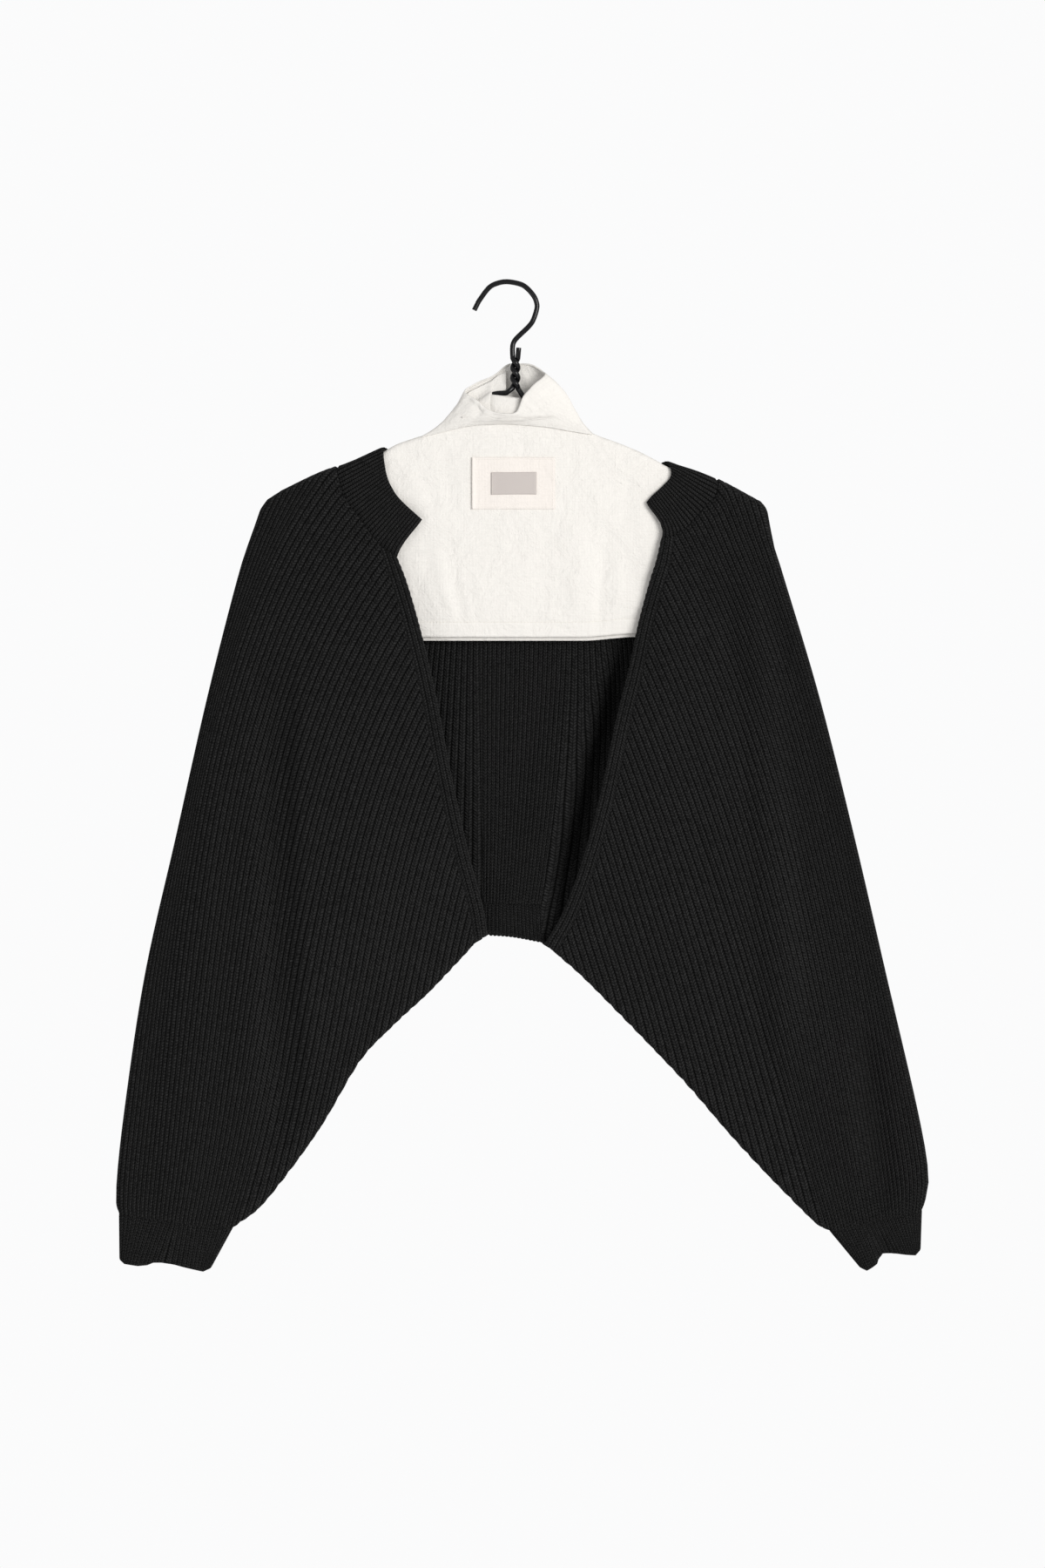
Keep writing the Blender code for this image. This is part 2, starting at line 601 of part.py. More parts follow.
def rib_lines(top, top_lean, end, end_lean, folds, samples=48):
    """Each rib as a curve from its start to its end with the leans given. The first rib follows
    the outline's fold, and so does the last where there is one; their neighbours share the bow."""
    t = np.linspace(0, 1, samples)[:, None, None]
    span = np.linalg.norm(end - top, axis=1)[:, None]
    leave = -np.stack([np.cos(top_lean), np.sin(top_lean)], axis=1) * span
    arrive = -np.stack([np.cos(end_lean), np.sin(end_lean)], axis=1) * span
    lines = (2 * t**3 - 3 * t**2 + 1) * top + (3 * t**2 - 2 * t**3) * end
    lines += (t**3 - 2 * t**2 + t) * leave + (t**3 - t**2) * arrive
    place = np.arange(len(top))
    for fold, first in folds:
        rib = lines[:, 0 if first else -1]
        bow = at_share(fold, lengths(rib) / lengths(rib)[-1]) - rib
        share = np.clip(1 - (place if first else place[::-1]) / BOW_COLUMNS, 0, 1) ** 2
        lines = lines + bow[:, None, :] * share[None, :, None]
    return lines


def panel_rows(lines):
    """The same rows on every rib: some at fixed distances from its ends, some at shares of it."""
    grid = []
    for line in lines.transpose(1, 0, 2):
        long = lengths(line)[-1]
        scale = min(1.0, long / SHORT_RIB)
        top = [distance * scale for distance in ROWS_FROM_TOP]
        end = [long - distance * scale for distance in ROWS_FROM_END]
        between = [top[-1] + share * (end[0] - top[-1]) for share in ROWS_BETWEEN]
        grid.append(at_length(line, [*top, *between, *end]))
    return np.stack(grid, axis=1)


def between_ribs(wall, first, last):
    """The columns of a wall from one rib's groove to another's, drawn in where it is cut."""
    part = wall[:, 2 * first:2 * last + 1].copy()
    for cut_here, edge, beside in ((first > 0, 0, 1), (2 * last + 1 < wall.shape[1], -1, -2)):
        if cut_here:
            across = part[:, beside] - part[:, edge]
            part[:, edge] += across / np.linalg.norm(across, axis=1)[:, None] * SEAM_GAP / 2
    return part


def knit_panel(parts, layer, tops, top_rows, ends, end_rows, folds):
    top, top_lean = rib_ends(tops, top_rows)
    end, end_lean = rib_ends(ends, end_rows)
    flat = panel_rows(rib_lines(top, top_lean, end, end_lean, folds))
    walls = knit_wall(SHRUG.lay(flat, layer), (0, -1 if layer == "front" else 1, 0), RIB_HEIGHT, layer)
    first = 0
    for name, last in parts:
        add_mesh(name, *join_walls(*(between_ribs(wall, first, last) for wall in walls)), BLACK_YARN)
        first = last


def fold_line(side):
    over = over_path(side)
    return cut(over, length_where(over, 0, SLEEVE_FOLD[side][0][0]), lengths(over)[-1])


def build_fronts():
    for side in SIDES:
        legs = top_legs(side), FRONT_TOP[side], end_legs(side), FRONT_END[side]
        knit_panel(FRONT_PARTS[side], "front", *legs, [(fold_line(side), True)])


def back_neck_seam():
    return smooth_path([on_crest("right", NECK_SEAM["right"][0][0]), *BACK_NECK_SEAM,
                        on_crest("left", NECK_SEAM["left"][0][0])])


def build_back():
    """One panel with the backs of both sleeves, notched at its foot for the hem band."""
    tops, ends, notch = {"back_neck": back_neck_seam()}, {}, {}
    for side in SIDES:
        sign = -1 if side == "right" else 1
        order = 1 if side == "right" else -1
        legs = top_legs(side)
        tops[f"crest_{side}"] = legs["crest"][::order]
        under = under_path(side)
        corner = length_where(under, 0, HEM_EDGE[side][0] + sign * NOTCH_ROOM[1])
        underarm = cut(under, lengths(under)[-1], corner)
        notch[side] = np.array(HEM_SEAM[side]) + (sign * NOTCH_ROOM[0], 0)
        ends[f"cuff_{side}"] = end_legs(side)["cuff"][::order]
        ends[f"underarm_{side}"] = underarm[::order]
        ends[f"band_end_{side}"] = np.array([underarm[-1], notch[side]])[::order]
    ends["hem"] = np.array([notch["right"], notch["left"]])
    folds = [(fold_line("right"), True), (fold_line("left"), False)]
    knit_panel(BACK_PARTS, "back", tops, BACK_TOP, ends, BACK_END, folds)


# ---- bands in fine rib -----------------------------------------------------------------------
def band_columns(seam, edge, pitch, rows):
    """Flat grid between two paths, with two columns for each rib across it."""
    middle = (lengths(seam)[-1] + lengths(edge)[-1]) / 2
    shares = np.linspace(0, 1, 2 * max(2, round(middle / pitch)) + 1)
    across = np.reshape(rows, (-1, 1, 1))
    return (1 - across) * at_share(seam, shares) + across * at_share(edge, shares)


def build_neckband():
    """One strip from the right free end over the right shoulder, round the back of the neck and
    over the left shoulder to the left free end. Its seam edge lies along the panels."""
    strips = {}
    for side in SIDES:
        turn = 1 if side == "right" else -1
        seam = offset(top_legs(side)["neck"], turn * SEAM_CLEARANCE)
        foot = offset(np.array([NECK_SEAM[side][-1], FRONT_EDGE[side][0]]), turn * SEAM_CLEARANCE)
        edge = smooth_path([on_crest(side, NECK_EDGE[side][0][0]), *NECK_EDGE[side][1:]])
        flat = band_columns(np.vstack([seam[:-1], foot[1:]]), edge, FINE_RIB_PITCH, BAND_ROWS)
        strips[side] = SHRUG.lay(flat, "front")
    ends = [on_crest(side, NECK_EDGE[side][0][0]) for side in SIDES]
    seam = offset(back_neck_seam(), SEAM_CLEARANCE)
    edge = smooth_path([ends[0], *BACK_NECK_EDGE, ends[1]])
    back = SHRUG.lay(band_columns(seam, edge, FINE_RIB_PITCH, BAND_ROWS), "back")
    grid = np.concatenate([strips["right"][:, :0:-1], back[:, 1:], strips["left"][:, 1:]], axis=1)
    add_mesh("neckband", *join_walls(*knit_wall(grid, (0, 1, 0), FINE_RIB_HEIGHT)), BLACK_YARN)


def build_trims():
    """Narrow rolled edging down each front, from the neckband to the hem."""
    for side in SIDES:
        seam = offset(trim_seam(side), SEAM_CLEARANCE if side == "right" else -SEAM_CLEARANCE)
        edge = smooth_path(FRONT_EDGE[side])
        shares = np.linspace(0, 1, TRIM_COLUMNS)
        across = np.reshape([row for row, _ in TRIM_ROLL], (-1, 1, 1))
        flat = at_share(seam, shares) * (1 - across) + at_share(edge, shares) * across
        height = np.reshape([height for _, height in TRIM_ROLL], (-1, 1))
        walls = knit_wall(SHRUG.lay(flat, "front"), (0, -1, 0), height, "front")
        add_mesh(f"front_trim_{side}", *join_walls(*walls), BLACK_YARN)


def build_hem_band():
    seam = np.array([HEM_SEAM["right"], HEM_SEAM["left"]]) - (0, SEAM_CLEARANCE)
    edge = smooth_path([HEM_EDGE["right"], HEM_EDGE["middle"], HEM_EDGE["left"]])
    flat = band_columns(seam, edge, HEM_RIB_PITCH, BAND_ROWS)
    walls = knit_wall(SHRUG.lay(flat, "back"), (0, 1, 0), FINE_RIB_HEIGHT, "back")
    add_mesh("hem_band", *join_walls(*walls), BLACK_YARN)


def sleeve_end(side):
    """Ring along the sleeve's end, from its outer fold by the front to the underarm and back
    behind."""
    leg = end_legs(side)["cuff"]
    shares = np.linspace(0, 1, CUFF_RIBS + 1)
    front = at_share(SHRUG.lay(leg, "front"), shares)
    back = at_share(SHRUG.lay(leg, "back"), shares)
    ring = np.vstack([front, back[-2::-1]])
    ring[[0, CUFF_RIBS, -1], 1] = 0
    return ring - (0, 0, CUFF_ROOM)


def cuff_foot(side):
    """Flattened ring at the cuff's free edge, from the same place and the same way round."""
    outer, inner = np.array(CUFF_FOOT[side])
    angle = np.linspace(0, 2 * math.pi, CUFF_SAMPLES)
    across = np.sign(np.cos(angle)) * np.abs(np.cos(angle)) ** CUFF_SQUARENESS
    out = np.sign(np.sin(angle)) * np.abs(np.sin(angle)) ** CUFF_SQUARENESS
    flat = (outer + inner) / 2 + across[:, None] * (outer - inner) / 2
    height = flat[:, 1] + CUFF_WAVE * np.sin(CUFF_WAVES * angle)
    ring = np.stack([flat[:, 0], -CUFF_DEPTH * out, height], axis=1)
    return at_share(ring, np.linspace(0, 1, 2 * CUFF_RIBS + 1))


def build_cuffs():
    for side in SIDES:
        top, foot = sleeve_end(side), cuff_foot(side)
        grid = np.stack([(1 - row) * top + row * foot for row in CUFF_ROWS])
        outward = grid[len(grid) // 2, CUFF_RIBS] - grid.mean(axis=(0, 1))
        walls = knit_wall(grid, outward, FINE_RIB_HEIGHT, ring=True)
        add_mesh(f"cuff_{side}", *join_walls(*walls, ring=True), BLACK_YARN)


# ---- hanger ----------------------------------------------------------------------------------
def twist_strand(first_angle, downwards):
    heights = np.linspace(TWIST_TOP, TWIST_FOOT, 6 * TWIST_HALF_TURNS + 1)
    angle = math.radians(first_angle) + np.linspace(0, TWIST_HALF_TURNS * math.pi, len(heights))
    radius = (WIRE_DIAMETER + SEAM_GAP) / 2
    strand = np.stack([STEM[0] + radius * np.cos(angle), radius * np.sin(angle), heights], axis=1)
    return strand if downwards else strand[::-1]


def in_plane(flat):
    return np.stack([flat[:, 0], np.zeros(len(flat)), flat[:, 1]], axis=1)


def build_wire():
    """One wire: from the hook's tip over its crown and down the twisted neck, out along one arm,
    back along the bottom bar, in along the other arm and up the twist to its cut end."""
    down = twist_strand(180, True)
    up = twist_strand(0, False)
    hook = smooth_path([*HOOK, (down[0, 0], TWIST_TOP)], 3)
    loops = []
    for side in ("left", "right"):
        arm = arm_path(side, [*ARM[side], *ARM_END[side]])
        loops.append(smooth_path(arm, 2))
    path = np.vstack([
        in_plane(hook[:-1]), down, in_plane(loops[0]), in_plane(loops[1][::-1]), up,
        in_plane(np.array([STUB_END])),
    ])
    curve = bpy.data.curves.new("hanger_wire", "CURVE")
    curve.dimensions = "3D"
    curve.bevel_depth = WIRE_DIAMETER / 2 * MM
    curve.bevel_resolution = 2
    curve.use_fill_caps = True
    spline = curve.splines.new("POLY")
    spline.points.add(len(path) - 1)
    for point, place in zip(spline.points, path):
        point.co = (*(place * MM), 1)
    add_piece("hanger_wire", curve, WIRE_BLACK, WIRE_ROUGHNESS)


# ---- cotton cover ----------------------------------------------------------------------------
def collar_seam():
    """Where the collar is sewn to the body of the cover, from its right end to its left."""
    return smooth_path([COVER_EDGE["right"][0], *COLLAR_SEAM, COVER_EDGE["left"][0]])


def cover_grid():
    """Upright columns from the slopes and the collar's seam down to the hem."""
    right_slope = offset(cover_slope("right"), -COVER.extra)
    left_slope = offset(cover_slope("left"), COVER.extra)
    top = np.vstack([right_slope[::-1], collar_seam()[1:-1], left_slope])
    first = COVER_EDGE["right"][-1, 0] - COVER.extra
    last = COVER_EDGE["left"][-1, 0] + COVER.extra
    near = np.array(COVER_SIDE_COLUMNS)
    middle = np.linspace(first + near[-1], last - near[-1], COVER_COLUMNS)
    xs = [*(first + near[:-1]), *middle, *(last - near[-2::-1])]
    start = np.stack([xs, np.interp(xs, top[:, 0], top[:, 1])], axis=1)
    foot = np.stack([xs, np.full(len(xs), COVER_FOOT)], axis=1)
    rows = [start - (0, distance) for distance in COVER_ROWS_FROM_TOP]
    return np.stack([*rows, *(rows[-1] + (foot - rows[-1]) * share for share in COVER_ROWS_BETWEEN)])


def build_cover_body():
    """Front and back of the cover, hung from the arms, with the collar's seam as their top."""
    for layer in ("front", "back"):
        add_sheet(f"cover_{layer}", COVER.lay(cover_grid(), layer), COTTON_CREAM)


def ring_at(points, stations):
    """Places on a closed curve through the points, at stations counted in points."""
    wrapped = smooth_path([*points[-2:], *points, *points[:3]])
    count = (len(wrapped) - 1) // (len(points) + 4)
    places = (np.asarray(stations) + 2) * count
    return np.stack([np.interp(places, np.arange(len(wrapped)), wrapped[:, i]) for i in range(3)], axis=1)


def build_collar():
    """Stand-up collar round the hook's neck, sewn to the body of the cover. Its mouth dips in
    front."""
    half = len(COLLAR_LIP) // 2
    side = np.array(COLLAR_STATIONS)
    seam = collar_seam()
    back = COVER.lay(at_share(seam[::-1], side / half), "back")
    front = COVER.lay(at_share(seam, side / half), "front")
    back[0, 1] = front[0, 1] = 0
    foot = np.vstack([back, front]) + (0, 0, SEAM_CLEARANCE)
    foot[[0, len(side)], 2] += COTTON
    stations = np.concatenate([side, half + side])
    rings = np.stack([foot, ring_at(COLLAR_WAIST, stations), ring_at(COLLAR_LIP, stations)])
    grid = np.stack([smooth_path(rings[:, i], COLLAR_ROWS) for i in range(rings.shape[1])], axis=1)
    add_sheet("cover_neck", grid, COTTON_CREAM, ring=True)


def build_labels():
    """A cotton patch sewn on the front of the cover, and the woven label on it."""
    rows = (("label_patch", PATCH, COTTON_CREAM, 1), ("label", LABEL, LABEL_GREY, 2))
    for name, spans, colour, layers in rows:
        xs = np.linspace(*spans[0], PATCH_COLUMNS)
        zs = np.linspace(*spans[1], PATCH_ROWS)
        flat = np.stack(np.meshgrid(xs, zs), axis=-1)
        add_sheet(name, COVER.lay(flat, "front", lift=layers * (COTTON + SEAM_GAP)), colour)


build_fronts()
build_back()
build_neckband()
build_trims()
build_hem_band()
build_cuffs()
build_wire()
build_cover_body()
build_collar()
build_labels()
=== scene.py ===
"""Looks of a knitted shrug on a wire hanger in a cotton cover.

The sections follow the making: the wire hanger, the cotton cover with its collar, patch and label,
then the shrug, from its back to its cuffs. Places are in millimetres, x and z in the hanger's plane
with the front at -y, and each mesh turns them into metres. "right" and "left" are the wearer's.
"""

import math
from functools import partial

import bmesh
import bpy
import numpy as np
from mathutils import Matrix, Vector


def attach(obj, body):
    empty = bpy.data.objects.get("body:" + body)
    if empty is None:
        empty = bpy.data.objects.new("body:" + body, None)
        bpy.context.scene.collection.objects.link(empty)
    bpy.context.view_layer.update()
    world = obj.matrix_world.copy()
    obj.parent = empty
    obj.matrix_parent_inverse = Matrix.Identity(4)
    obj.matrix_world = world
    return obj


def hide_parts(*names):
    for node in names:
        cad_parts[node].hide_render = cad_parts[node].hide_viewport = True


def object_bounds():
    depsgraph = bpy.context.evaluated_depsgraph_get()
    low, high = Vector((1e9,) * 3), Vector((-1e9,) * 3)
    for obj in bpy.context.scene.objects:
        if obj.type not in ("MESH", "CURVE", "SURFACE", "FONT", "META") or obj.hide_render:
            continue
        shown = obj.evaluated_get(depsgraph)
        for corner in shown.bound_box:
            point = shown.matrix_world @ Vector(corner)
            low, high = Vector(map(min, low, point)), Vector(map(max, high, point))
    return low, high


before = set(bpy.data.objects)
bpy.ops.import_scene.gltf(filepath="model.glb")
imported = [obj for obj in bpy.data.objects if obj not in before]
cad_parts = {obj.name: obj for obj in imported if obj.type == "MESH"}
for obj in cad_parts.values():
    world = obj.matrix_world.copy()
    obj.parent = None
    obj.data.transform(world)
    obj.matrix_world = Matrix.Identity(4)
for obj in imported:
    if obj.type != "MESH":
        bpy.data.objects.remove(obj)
solid_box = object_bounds()


# ==== Wire hanger ===============================================================================
# One length of steel wire, dipped in black gloss paint. It is bent from the hook's tip over the
# crown and twisted round itself for a neck, and one loop of it makes both arms and the bottom bar.
MM = 0.001
SIDES = ("right", "left")
TURN = {"right": 1, "left": -1}  # the way round in which a side's outlines run
WIRE_RADIUS = 2.1
STEM = (4.3, -87.9)  # foot of the hook's stem, where the arms part
HOOK = ((-28.7, -20.7), (-26.8, -17.0), (-24.2, -12.3), (-16.8, -2.7), (-9.7, 1.0), (-1.8, 2.1), (8.0, 0.3),
        (13.3, -2.7), (18.6, -8.5), (21.2, -14.0), (21.6, -19.5), (18.5, -29.1), (14.5, -34.5), (8.4, -40.3),
        (3.8, -45.2), (2.1, -50.0))
TWIST = {"top": -58.5, "foot": -83.5, "half_turns": 3}
CUT_END = (7.1, -51.0)  # of the wire, beside the hook's stem
ARM = {  # out from the stem and down from its foot
    "right": ((7, -0.7), (18, 0.6), (30, 7.5), (52, 22.5), (68, 34), (107, 51.5), (130, 62), (155, 71),
              (188, 87)),
    "left": ((7, 3.5), (20, 13), (56, 32.5), (90, 46.5), (123, 62.5), (145, 69.5), (165, 78.5), (188, 91)),
}
ARM_END = {
    "right": ((193.5, 91.5), (196.0, 98.5), (193.5, 105), (186, 107.5)),
    "left": ((192.7, 95.5), (195.3, 103.0), (193.0, 110), (186, 112.5)),
}


def smooth_path(points, steps=8):
    """A curve through the points, with this many steps between two of them."""
    points = np.asarray(points, float)
    before = np.vstack([2 * points[0] - points[1], points[:-1]])
    after = np.vstack([points[1:], 2 * points[-1] - points[-2]])
    t = np.linspace(0, 1, steps, endpoint=False)[:, None]
    spans = []
    for a, b, c, d in zip(before[:-1], points[:-1], points[1:], after[1:]):
        square = t**2 * (2 * a - 5 * b + 4 * c - d) / 2
        cube = t**3 * (3 * b - a - 3 * c + d) / 2
        spans.append(b + t * (c - a) / 2 + square + cube)
    return np.vstack([*spans, points[-1:]])


def arm_path(side, rows):
    return np.array([(STEM[0] - TURN[side] * out, STEM[1] - down) for out, down in rows])


def twisted_strand(first_angle):
    heights = np.linspace(TWIST["top"], TWIST["foot"], 16 * TWIST["half_turns"] + 1)
    angle = math.radians(first_angle) + np.linspace(0, TWIST["half_turns"] * math.pi, len(heights))
    radius = WIRE_RADIUS * 1.02
    return np.stack([STEM[0] + radius * np.cos(angle), radius * np.sin(angle), heights], axis=1)


def in_plane(flat):
    return np.stack([flat[:, 0], np.zeros(len(flat)), flat[:, 1]], axis=1)


def add_node(tree, kind, inputs=(), **settings):
    """A node with its settings and its inputs, each a value or a socket to link."""
    node = tree.nodes.new(kind)
    for name, value in settings.items():
        setattr(node, name, value)
    for name, value in dict(inputs).items():
        if isinstance(value, bpy.types.NodeSocket):
            tree.links.new(value, node.inputs[name])
        else:
            node.inputs[name].default_value = value
    return node


def new_finish(name, colour, roughness):
    material = bpy.data.materials.new(name)
    material.use_nodes = True
    shader = material.node_tree.nodes["Principled BSDF"]
    shader.inputs["Base Color"].default_value = (*colour, 1)
    shader.inputs["Roughness"].default_value = roughness
    return material, material.node_tree, shader


def noise(tree, place, scale, detail, **more):
    inputs = {"Vector": place, "Scale": scale, "Detail": detail, **more}
    return add_node(tree, "ShaderNodeTexNoise", inputs).outputs["Fac"]


def mapped(tree, value, low, high, start=0.0, stop=1.0, **settings):
    """The value mapped from between start and stop to between low and high."""
    span = {"From Min": start, "From Max": stop, "To Min": low, "To Max": high}
    return add_node(tree, "ShaderNodeMapRange", {"Value": value, **span}, **settings).outputs["Result"]


def add_bumps(tree, shader, *bumps):
    """Bumps from coarse to fine, each a pattern, its strength and its height in metres."""
    below = {}
    for pattern, strength, distance in bumps:
        inputs = {"Height": pattern, "Strength": strength, "Distance": distance, **below}
        below = {"Normal": add_node(tree, "ShaderNodeBump", inputs).outputs["Normal"]}
    tree.links.new(below["Normal"], shader.inputs["Normal"])


def add_object(name, data):
    made = bpy.data.objects.new(name, data)
    bpy.context.scene.collection.objects.link(made)
    return made


def plain_mesh(piece):
    """The mesh that a curve or a modifier makes, in place of the object that made it."""
    bpy.context.view_layer.update()
    graph = bpy.context.evaluated_depsgraph_get()
    mesh = bpy.data.meshes.new_from_object(piece.evaluated_get(graph), depsgraph=graph)
    mesh.name = name = piece.name
    bpy.data.objects.remove(piece, do_unlink=True)
    return add_object(name, mesh)


def declare(piece, slot, *nodes):
    if nodes:
        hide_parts(*nodes)
    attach(piece, "root")


gloss_paint, tree, shader = new_finish("black_gloss_paint", (0.006, 0.006, 0.007), 0.2)
runs = noise(tree, add_node(tree, "ShaderNodeTexCoord").outputs["Object"], 260.0, 3.0)
tree.links.new(mapped(tree, runs, 0.1, 0.22), shader.inputs["Roughness"])
add_bumps(tree, shader, (runs, 0.4, 0.0001))
shader.inputs["Specular IOR Level"].default_value = 0.3

down, up = twisted_strand(180), twisted_strand(0)[::-1]
loops = {side: in_plane(smooth_path(arm_path(side, [*ARM[side], *ARM_END[side]]), 6)) for side in SIDES}
wire_path = np.vstack([
    in_plane(smooth_path([*HOOK, (down[0, 0], TWIST["top"])], 5))[:-1],
    down, loops["left"], loops["right"][::-1], up, in_plane(np.array([CUT_END])),
])
curve = bpy.data.curves.new("wire_hanger", "CURVE")
curve.dimensions = "3D"
curve.bevel_depth = WIRE_RADIUS * MM
curve.bevel_resolution = 6
curve.use_fill_caps = True
spline = curve.splines.new("POLY")
spline.points.add(len(wire_path) - 1)
for point, place in zip(spline.points, wire_path):
    point.co = (*(place * MM), 1)
wire = plain_mesh(add_object("wire_hanger", curve))
wire.data.materials.clear()
wire.data.materials.append(gloss_paint)
wire.data.shade_smooth()
wire.data.set_sharp_from_angle(angle=math.radians(50))
declare(wire, "hanger_wire", "hanger_wire")


# ==== Cover of the hanger: front and back =======================================================
# Unbleached plain-weave cotton, cut as a front and a back that follow the arms and hang straight
# to a turned hem. The two are sewn together along the slopes, and the hem's stitches show.
AWAY = {"front": -1, "back": 1}  # the way in which each layer faces, along y
COTTON = 0.8
COTTON_ROUND_WIRE = 3.2  # from the wire's middle to the middle of the cotton
COVER_TOP = {
    "right": ((76.8, 34.7), (85.2, 37.5), (92.2, 39.9), (97.8, 42.4), (112, 50.6), (130, 58.7), (155, 67.7),
              (188, 83.0), (197.2, 91.0), (199.5, 101.0)),
    "left": ((63.2, 32.6), (68.9, 35.1), (75.9, 37.5), (87.1, 41.7), (101.1, 47.7), (114, 54.5),
             (123, 59.3), (145, 65.8), (165, 75.0), (188, 87.0), (196.3, 94.5), (198.9, 104.5)),
}
COVER_DEPTH = ((-110, 4.2, 4.2), (-290, 4.2, 4.2))  # z, front, back
COVER_HEM = {"front": -283.5, "back": -286.3}
HEM_STITCHES = -271.5
HEM_TURNED = 0.35  # how far the turned hem stands out
STITCHES_SINK = 0.3
HEM_CLOSES = 3.0  # how far each hem hangs in towards the other
HEM_RISE = 3.0  # how far it is pulled up towards the wearer's left
COLLAR_SEAM = (
    (-59.9, -119.8), (-45.9, -116.3), (-34.7, -113.8), (-23.5, -112.4), (-6.7, -111.7), (3.2, -112.0),
    (17.2, -113.1), (31.2, -114.5), (45.2, -117.0), (59.2, -119.4),
)
COVER_CREASES = {
    # top x, top z, foot x, foot z, half width, height
    "front": (
        (8, -116, 8.5, -134, 2.2, -0.5), (-62, -205, -46, -275, 7, 0.9), (-48, -212, -36, -282, 5, -0.8),
        (-76, -240, -58, -284, 6, -0.7), (-28, -225, -20, -272, 5, 0.6), (52, -180, 60, -284, 16, 1.1),
        (78, -195, 70, -283, 7, -1.0), (88, -215, 84, -280, 5, 0.9), (98, -150, 90, -200, 8, -0.8),
        (105, -172, 112, -260, 9, 0.7), (-90, -128, -64, -196, 10, 0.7), (-56, -125, -44, -190, 9, -0.6),
        (12, -262, 66, -278, 4, 0.5), (30, -195, 24, -262, 14, -0.6),
    ),
    "back": (
        (-70, -190, -60, -282, 12, 0.9), (20, -205, 6, -282, 10, -0.8), (80, -200, 88, -282, 12, 0.9),
        (-10, -150, 44, -180, 9, 0.6),
    ),
}


def lengths(path):
    return np.concatenate([[0.0], np.cumsum(np.linalg.norm(np.diff(path, axis=0), axis=1))])


def at_length(path, distances):
    along = lengths(path)
    return np.stack([np.interp(distances, along, path[:, i]) for i in range(path.shape[1])], axis=-1)


def at_share(path, shares):
    return at_length(path, np.asarray(shares) * lengths(path)[-1])


def offset(path, distance):
    """The path moved to its own left, looking along it."""
    along = np.gradient(path, axis=0)
    along /= np.linalg.norm(along, axis=1)[:, None]
    return path + np.reshape(distance, (-1, 1)) * np.stack([-along[:, 1], along[:, 0]], axis=1)


def soft_step(value):
    value = np.clip(value, 0, 1)
    return value * value * (3 - 2 * value)


def crease_height(creases, points, fade_share=0.3, start=0.1):
    """Height of the folds and creases of a layer at flat points."""
    height = np.zeros(len(points))
    for top_x, top_z, foot_x, foot_z, half_width, high in creases:
        top = np.array([top_x, top_z])
        run = np.array([foot_x, foot_z]) - top
        long = np.linalg.norm(run)
        along = (points - top) @ run / long
        across = (points - top) @ np.array([-run[1], run[0]]) / long
        profile = np.clip(1 - (across / half_width) ** 2, 0, 1) ** 2
        fade = fade_share * long
        height += high * profile * soft_step(along / fade + start) * soft_step((long - along) / fade + start)
    return height


class HungCloth:
    """Two layers of cloth that hang back to back. At an outline each turns to the other in a
    quarter circle of this radius, and inside it each bulges away to its full depth within its
    reach, with its folds on it from the clearance on. The outlines are flat paths of x and z with
    the cloth on their left hand."""

    def __init__(self, outlines, radius, seam, reach, depths, folds, clearance):
        self.radius = radius
        self.extra = (math.pi / 2 - 1) * radius
        self.seam = seam
        self.reach = reach
        self.depths = np.array(depths, float)[::-1]
        self.folds = folds
        self.clearance = clearance
        self.start = np.vstack([path[:-1] for path in outlines])
        self.step = np.vstack([np.diff(path, axis=0) for path in outlines])
        inward = np.stack([-self.step[:, 1], self.step[:, 0]], axis=1)
        self.inward = inward / np.linalg.norm(inward, axis=1)[:, None]

    def from_outline(self, points):
        """Distance inwards from the nearest outline, and the way inwards there."""
        rel = points[:, None, :] - self.start[None]
        share = np.clip((rel * self.step).sum(2) / (self.step**2).sum(1), 0, 1)
        away = rel - share[..., None] * self.step
        distance = np.linalg.norm(away, axis=2)
        nearest = distance.argmin(axis=1)
        rows = np.arange(len(points))
        inner = self.inward[nearest]
        away = away[rows, nearest]
        share = share[rows, nearest]
        signed = (away * inner).sum(1)
        beside = (share > 0) & (share < 1) | (signed < 0)
        radial = away / np.maximum(np.linalg.norm(away, axis=1), 1e-9)[:, None]
        return np.where(beside, signed, distance[rows, nearest]), np.where(beside[:, None], inner, radial)

    def lay(self, points, layer, lift=0.0):
        """Flat points of x and z laid on the front or the back layer, as x, y and z."""
        flat = np.asarray(points, float).reshape(-1, 2)
        parts = [self.from_outline(part) for part in np.array_split(flat, len(flat) // 4000 + 1)]
        distance = np.concatenate([part[0] for part in parts])
        way = np.vstack([part[1] for part in parts])
        turned = distance + self.extra
        angle = np.clip(turned / self.radius, 0, math.pi / 2)
        inside = np.where(angle < math.pi / 2, self.radius * (1 - np.cos(angle)), distance)
        placed = flat + way * (inside - distance)[:, None]
        full = np.interp(placed[:, 1], self.depths[:, 0], self.depths[:, 1 if layer == "front" else 2])
        beyond = inside - self.radius
        bulge = (full - self.radius) * soft_step(beyond / self.reach)
        folds = crease_height(self.folds[layer], placed) * soft_step(beyond / self.clearance)
        depth = self.radius * np.sin(angle) + bulge + folds + self.seam / 2 + lift
        laid = np.stack([placed[:, 0], AWAY[layer] * depth, placed[:, 1]], axis=1)
        return laid.reshape(*np.shape(points)[:-1], 3)


